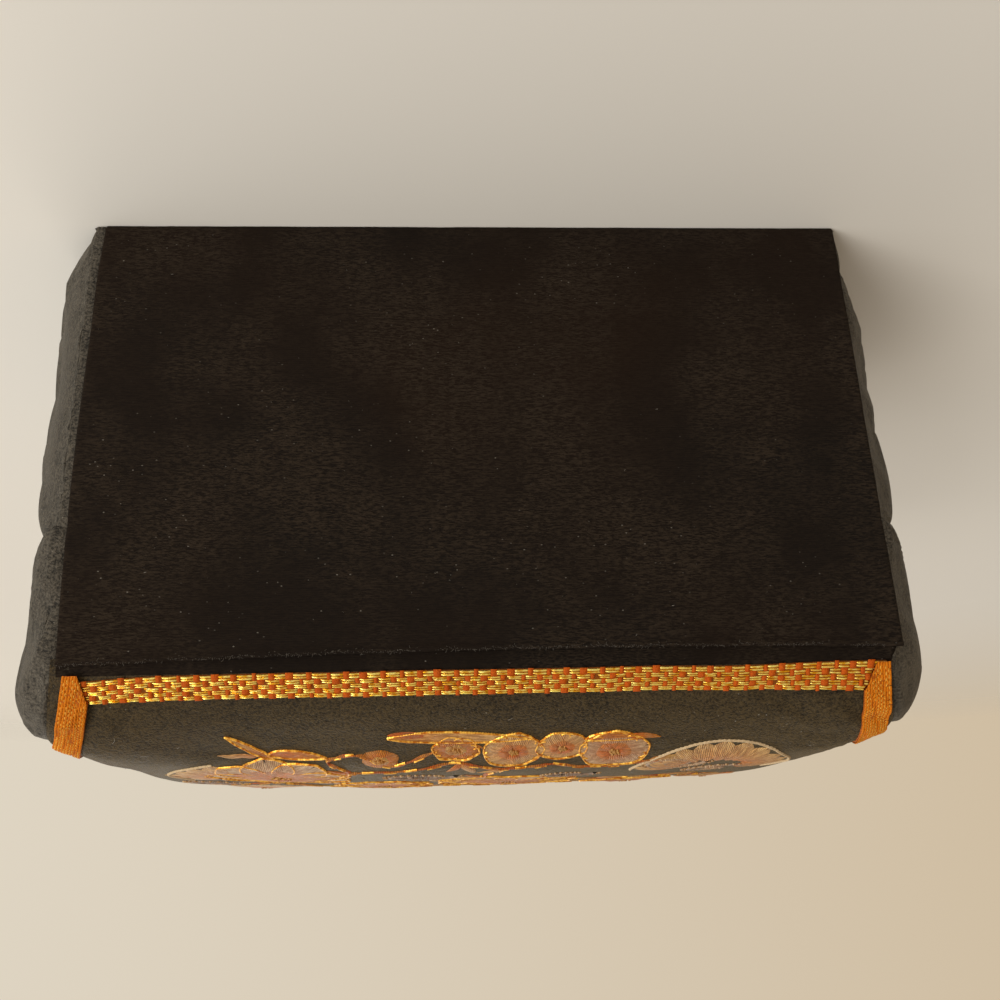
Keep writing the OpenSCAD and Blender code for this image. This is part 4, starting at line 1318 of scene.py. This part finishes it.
# %% Lint
FIBRE, FIBRES = 0.045, 30
SCATTER = (0.6180, 0.7549, 0.5698, 0.8192, 0.6711)


def fibre(lay, start, heading, length, curl, seed):
    """Points and faces of one fibre; lay(a, b, rise) gives the place on a surface."""
    steps = 12
    a, b = start
    line = []
    for i in range(steps + 1):
        k = i / steps
        line.append(np.array(lay(a, b, FIBRE + 0.35 * math.sin(math.pi * k) * abs(bumps((k * 9, seed, 0), 3.0, seed)))))
        heading += curl / steps * (0.5 + 1.5 * bumps((k * 8, seed, 0), 2.0, seed))
        a += length / steps * math.cos(heading)
        b += length / steps * math.sin(heading)
    points = []
    for i, p in enumerate(line):
        ahead = line[min(i + 1, steps)] - line[max(0, i - 1)]
        ahead = ahead / max(1e-9, np.linalg.norm(ahead))
        one = np.cross(ahead, (0.3, 0.9, 0.2))
        one /= np.linalg.norm(one)
        two = np.cross(ahead, one)
        thin = FIBRE * (1 - 0.6 * abs(2 * i / steps - 1) ** 3)
        for q in range(4):
            t = math.pi * q / 2
            points.append(p + thin * (math.cos(t) * one + math.sin(t) * two))
    return points, grid_faces(steps + 1, 4, 0, loop=True)


def lint(name, owner, lay, wide, deep, count=FIBRES, longest=7.0, finish=LINT):
    points, faces = [], []
    for n in range(count):
        pick = [(n * step + 0.37 * m * m) % 1.0 for m, step in enumerate(SCATTER)]
        start = (mix(-wide, wide, pick[0]), mix(*deep, pick[1]))
        length = mix(0.2 * longest, longest, pick[2] ** 2)
        new, ring = fibre(lay, start, 6.28 * pick[3], length, mix(0.4, 3.6, pick[4]), n * 1.37)
        faces += [tuple(i + len(points) for i in face) for face in ring]
        points += new
    piece = new_piece(name, points, faces, finish)
    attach(piece, owner)
    print(name + ":", count, "fibres")


def on_back(a, b, rise):
    return (a, cloth_y(a, b) + rise, b)


def on_fold(a, b, rise):
    z = fold_z(a) + b
    return (a, cloth_y(a, z) + 0.40 + rise, z)


lint("body_lint", "box", on_back, HALF_W - 4, (4, HINGE_Z - 8))
lint("lid_lint", "lid", on_back, HALF_W - 4, (HINGE_Z + 8, LID_TOP - 6))
lint("fold_fuzz", "lid", on_fold, HALF_W - 2, (-0.35, 0.10), 640, 1.0, FUZZ)
lint("crown_lint", "lid", on_crown, CROWN_BACK_HALF - 9, (9, 60), 40, 2.6)

# %% [markdown]
# ## Lining boards
# Inside, every board is wrapped in satin, so its edges are soft and its faces slightly puffed. Each one
# is rebuilt over its own node: a box whose grid of points is pushed onto a rounded box.

# %% Wrapped boards
def rounded_board(name, node, radius=0.55, puff=0.18, material=LINING):
    low, high = node_box(node)
    size = high - low
    r = min(radius, 0.45 * float(min(size)))
    centre = (low + high) / 2
    counts = [int(min(24, max(2, s / 5))) for s in size]
    steps = []
    for s, n in zip(size, counts):
        inner = np.linspace(r, s - r, n + 1)
        steps.append(np.concatenate([[0, 0.3 * r], inner, [s - 0.3 * r, s]]))
    points, index, faces = [], {}, []

    def vertex(i, j, k):
        key = (i, j, k)
        if key not in index:
            p = np.array([steps[0][i], steps[1][j], steps[2][k]])
            core = np.clip(p, r, size - r)
            away = p - core
            length = np.linalg.norm(away)
            q = core + (away / length * r if length > 1e-9 else 0)
            rel = (q - size / 2) / (size / 2)
            flatness = np.prod([1 - abs(v) ** 6 if abs(v) < 0.999 else 1 for v in rel])
            normal = away / length if length > 1e-9 else np.zeros(3)
            q = q + normal * puff * (flatness * 0.6 + 0.5 * bumps(q + low, 9, 2.7) * flatness) - normal * puff * 0.8
            index[key] = len(points)
            points.append(q + low)
        return index[key]

    dims = [len(s) for s in steps]
    for axis in range(3):
        a, b = [i for i in range(3) if i != axis]
        for end in (0, dims[axis] - 1):
            for i in range(dims[a] - 1):
                for j in range(dims[b] - 1):
                    corners = []
                    for di, dj in ((0, 0), (1, 0), (1, 1), (0, 1)):
                        key = [0, 0, 0]
                        key[axis], key[a], key[b] = end, i + di, j + dj
                        corners.append(vertex(*key))
                    flip = (end == 0) != (axis == 1)
                    faces.append(tuple(reversed(corners)) if flip else tuple(corners))
    piece = new_piece(name, points, faces, material)
    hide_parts(node)
    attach(piece, next(b for b, names in frame["record"]["behaviour"]["bodies"].items() if node in names))
    return piece


WRAPPED = ["liner_back", "liner_front", "liner_left", "liner_right", "left_ledge", "right_ledge",
           "tray_base", "tray_back_wall", "tray_front_wall", "tray_left_wall", "tray_right_wall",
           "tray_long_divider", "tray_front_divider", "lid_liner_back", "lid_liner_front",
           "lid_liner_left", "lid_liner_right", "ceiling_panel"]
for node in WRAPPED:
    rounded_board(node + "_cover", node)
print("wrapped boards:", len(WRAPPED))

# %% [markdown]
# ## Floor cushion and ring rolls
# The floor is a thin cushion. The ring rolls are wadding rolled in satin, closed at the ends, lying side
# by side so that a ring can be pushed between two of them.

# %% Cushion and rolls
def floor_cushion():
    low, high = node_box("floor_cushion")
    n, m = 70, 46
    rows = []
    for s in mix(-1, 1, eased(m)):
        row = []
        for q in mix(-1, 1, eased(n)):
            x, y = q * high[0] * (1 - 0.006 * s * s), s * high[1] * (1 - 0.008 * q * q)
            crown_up = ((1 - abs(q) ** 5) * (1 - abs(s) ** 5)) ** 0.45
            tuft = sum(math.exp(-((x - tx) ** 2 + y * y) / 30.0) for tx in (-50, 0, 50))
            z = low[2] + 1.6 + 3.2 * crown_up - 1.9 * tuft + 0.25 * bumps((x, y, 0), 12, 4.4) * crown_up
            row.append((x, y, z))
        rows.append(row)
    rows = [[(p[0], p[1], low[2] + 0.1) for p in rows[0]], *rows, [(p[0], p[1], low[2] + 0.1) for p in rows[-1]]]
    rows = [[(r[0][0], r[0][1], low[2] + 0.1), *r, (r[-1][0], r[-1][1], low[2] + 0.1)] for r in rows]
    points = [p for row in rows for p in row]
    cols = len(rows[0])
    faces = grid_faces(len(rows), cols)
    rim = [c for c in range(cols)] + [r * cols + cols - 1 for r in range(1, len(rows))]
    rim += [(len(rows) - 1) * cols + c for c in range(cols - 2, -1, -1)] + [r * cols for r in range(len(rows) - 2, 0, -1)]
    faces.append(tuple(reversed(rim)))
    piece = new_piece("floor_pad", points, faces, LINING)
    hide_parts("floor_cushion")
    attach(piece, "box")


def ring_rolls():
    low, high = node_box("ring_rolls")
    count = 4
    pitch = (high[1] - low[1]) / count
    r = pitch / 2
    length = high[0] - low[0]
    points, faces = [], []
    around = 40
    for k in range(count):
        cy, cz = low[1] + pitch * (k + 0.5), low[2] + r
        start = len(points)
        us = np.concatenate([[0.0], length * eased(60), [length]])
        for i, u in enumerate(us):
            end = min(u, length - u)
            radius = r * (1 - 0.5 * math.exp(-end / 1.3)) if 0 < i < len(us) - 1 else 0.35
            inset = 0.6 if i == 0 else (-0.6 if i == len(us) - 1 else 0.0)
            for a in range(around):
                t = 2 * math.pi * a / around
                gather = 0.10 * math.sin(9 * t + k) * math.exp(-end / 3.0)
                dent = 0.12 * bumps((u, 3 * math.cos(t), 3 * math.sin(t)), 6, k * 3.0)
                rr = min(radius * (1 + gather) + dent * (radius > 1) - 0.12, r - 0.02)
                points.append((low[0] + u + inset, cy + rr * math.cos(t), cz + rr * math.sin(t)))
        faces += grid_faces(len(us), around, start, loop=True)
        faces.append(tuple(range(start, start + around)))
        faces.append(tuple(reversed(range(start + (len(us) - 1) * around, start + len(us) * around))))
    piece = new_piece("roll_pads", points, faces, LINING)
    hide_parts("ring_rolls")
    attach(piece, "tray")


floor_cushion()
ring_rolls()

# %% [markdown]
# ## Ribbon stays
# Two narrow ribbons stop the lid. Closed, each is folded in three beside the lining; open, it is taut.
# A ribbon keeps its length, so the folded shape is worked out from the taut one: each point is turned
# back about the hinge by its own share of the opening. The share depends only on the ribbon's distance
# from the wall.

# %% Stays
STAY_REACH, STAY_RISE, STAY_W = 60.0, 8.0, 10.0
OPEN = frame["joints"][0]["range_deg"][1]
HINGE_Y = frame["joints"][0]["pos_m"][1] / MM


def stays():
    far = math.hypot(STAY_REACH, STAY_RISE)
    low_angle = -math.degrees(math.atan2(STAY_RISE, STAY_REACH))
    middle = OPEN / 2
    near = far * math.cos(math.radians(middle - low_angle))
    wall = -node_box("left_stay")[0][0]
    inner = -node_box("left_stay")[1][0]
    x0, x1 = wall - 0.2, inner + 0.1
    for side in (-1, 1):
        rows = []
        for psi in np.linspace(low_angle, OPEN - low_angle, 160):
            f = min(1.0, max(0.0, (psi - OPEN / 4) / (OPEN / 2)))
            t = 0.5 - math.sin(math.asin(1 - 2 * f) / 3)
            x = side * mix(x0, x1, t)
            row = []
            for w in (-0.5, 0, 0.5):
                r = (near + w * STAY_W) / math.cos(math.radians(middle - psi))
                a = math.radians(psi - f * OPEN)
                row.append((x, HINGE_Y - r * math.cos(a), HINGE_Z + r * math.sin(a)))
            rows.append(row)
        name = "left_stay" if side < 0 else "right_stay"
        piece = new_piece(name + "_ribbon", [p for r in rows for p in r], grid_faces(len(rows), 3), RIBBON)
        thicken(piece, 0.15, 0)
        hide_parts(name)
        side * x0 * MM
        side * x1 * MM
        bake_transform(piece)


stays()

# %% [markdown]
# ## What stays from the frame
# Rigid pieces whose shape is right only need their finish. The greyboard and the base cloth are seen
# little or not at all, but they are there if the box is taken apart.

# %% Finishes of the frame's own nodes
KEPT = {
    COTTON: ["base_cloth"],
    BOARD: ["base_board", "back_board", "front_board", "left_board", "right_board", "lid_back_board",
            "lid_front_board", "lid_left_board", "lid_right_board", "crown_card"],
    LINING: ["tray_back_dividers", "mirror_border"],
    RIBBON: ["tray_pulls"],
    MIRROR: ["mirror_glass"],
}
for material, names in KEPT.items():
    for name in names:
        mesh = frame["nodes"][name].data
        mesh.materials.clear()
        mesh.materials.append(material)

# %% [markdown]
# ## Stage, light and camera
# The photograph shows the box lying on its front with its back to the camera. The frame keeps the box
# upright, so the camera is turned instead: it looks at the back from above the lid, upside down. A wide
# soft lamp above the back gives the even light of a room, and a weaker one fills from the other side.

# %% Stage
def look(at, target):
    return (Vector(target) - Vector(at)).to_track_quat("-Z", "Y").to_euler()


def lamp(name, at, target, size, power, colour):
    data = bpy.data.lights.new(name, "AREA")
    data.shape, data.size, data.energy, data.color = "DISK", size, power, colour
    light = bpy.data.objects.new(name, data)
    light.location, light.rotation_euler = at, look(at, target)
    bpy.context.scene.collection.objects.link(light)


FLOOR = (0.86, 0.82, 0.74)
# Backdrop colour seen by the camera, darker and warmer towards +X like the room's light: painted shade on the backdrop.
SEEN = ((0.77, 0.71, 0.60), (0.60, 0.475, 0.32))
ROOM = ((0.98, 0.98, 0.97), (0.25, 0.165, 0.08))
FADE_FROM, FADE_TO = 0.5, 1.3


def floor_finish():
    """Matt card near the box, fading out into the room's colour."""
    f = Finish("floor", Specular_IOR_Level=0.0, Roughness=1.0)
    spot = f.place()
    f.colour(f.blend(f.grain(spot, 0.004, 2.0), FLOOR, tuple(0.985 * c for c in FLOOR)))
    away = f.add("ShaderNodeVectorMath", {"operation": "LENGTH"}, [spot], out=1) * MM
    gone = ((away - FADE_FROM) / (FADE_TO - FADE_FROM)).held()
    clear = f.add("ShaderNodeBsdfTransparent", {})
    card = Value(f, f.surface.outputs[0])
    seen = f.add("ShaderNodeMixShader", {}, [gone, card, clear])
    f.put(f.nodes["Material Output"].inputs["Surface"], seen)
    return f.material


def stage():
    reach = 6000.0
    points = [(-reach, -reach, 0), (reach, -reach, 0), (reach, reach, 0), (-reach, reach, 0)]
    floor = new_piece("floor", points, [(0, 1, 2, 3)], floor_finish())
    lamp("key", (-0.60, 0.60, 0.50), (0, 0, 0.06), 0.6, 4.6, (1.0, 0.98, 0.95))
    lamp("fill", (0.85, 0.35, 0.6), (0, 0, 0.06), 0.8, 0.25, (1.0, 0.78, 0.50))
    lamp("front", (-0.3, -0.9, 0.7), (0, 0, 0.06), 0.8, 2.6, (1.0, 0.95, 0.88))
    room()


def room():
    """The room's light, paler on one side, and the colour that is seen behind the floor, darker and warmer on the same
    far side: painted shade on the backdrop.
    """
    world = bpy.data.worlds.new("room")
    bpy.context.scene.world = world
    world.use_nodes = True
    nodes, links = world.node_tree.nodes, world.node_tree.links
    light = nodes["Background"]
    light.inputs["Strength"].default_value = 0.84
    way = nodes.new("ShaderNodeSeparateXYZ")
    links.new(nodes.new("ShaderNodeTexCoord").outputs["Generated"], way.inputs[0])
    side = nodes.new("ShaderNodeMapRange")
    side.inputs["From Min"].default_value = -0.7
    side.inputs["From Max"].default_value = 0.7
    links.new(way.outputs[0], side.inputs["Value"])
    seen = nodes.new("ShaderNodeBackground")
    for shade, (left, right) in ((light, ROOM), (seen, SEEN)):
        tint = nodes.new("ShaderNodeMix")
        tint.data_type = "RGBA"
        links.new(side.outputs[0], tint.inputs[0])
        tint.inputs[6].default_value = (*left, 1)
        tint.inputs[7].default_value = (*right, 1)
        links.new(tint.outputs[2], shade.inputs["Color"])
    path = nodes.new("ShaderNodeLightPath")
    share = path.outputs["Is Camera Ray"]
    for kind in ("Is Transmission Ray", "Is Glossy Ray"):
        either = nodes.new("ShaderNodeMath")
        either.operation = "MAXIMUM"
        links.new(share, either.inputs[0])
        links.new(path.outputs[kind], either.inputs[1])
        share = either.outputs[0]
    blend = nodes.new("ShaderNodeMixShader")
    links.new(share, blend.inputs[0])
    links.new(light.outputs[0], blend.inputs[1])
    links.new(seen.outputs[0], blend.inputs[2])
    links.new(blend.outputs[0], nodes["World Output"].inputs["Surface"])


def camera():
    data = bpy.data.cameras.new("camera")
    data.sensor_width, data.lens = 36.0, 36.0
    data.clip_start = 0.01
    cam = bpy.data.objects.new("camera", data)
    right = Vector((0.99875, 0.04317, 0.02511)).normalized()
    forward = Vector((0.04896, -0.94578, -0.32110)).normalized()
    up = right.cross(forward).normalized()
    right = forward.cross(up)
    spot = Vector((-5.5, BACK_Y + 209.5, 141.5)) * MM
    cam.matrix_world = Matrix((
        (right.x, up.x, -forward.x, spot.x),
        (right.y, up.y, -forward.y, spot.y),
        (right.z, up.z, -forward.z, spot.z),
        (0, 0, 0, 1),
    ))
    bpy.context.scene.collection.objects.link(cam)
    bpy.context.scene.camera = cam


stage()
camera()
bpy.context.scene.view_settings.view_transform = "Standard"
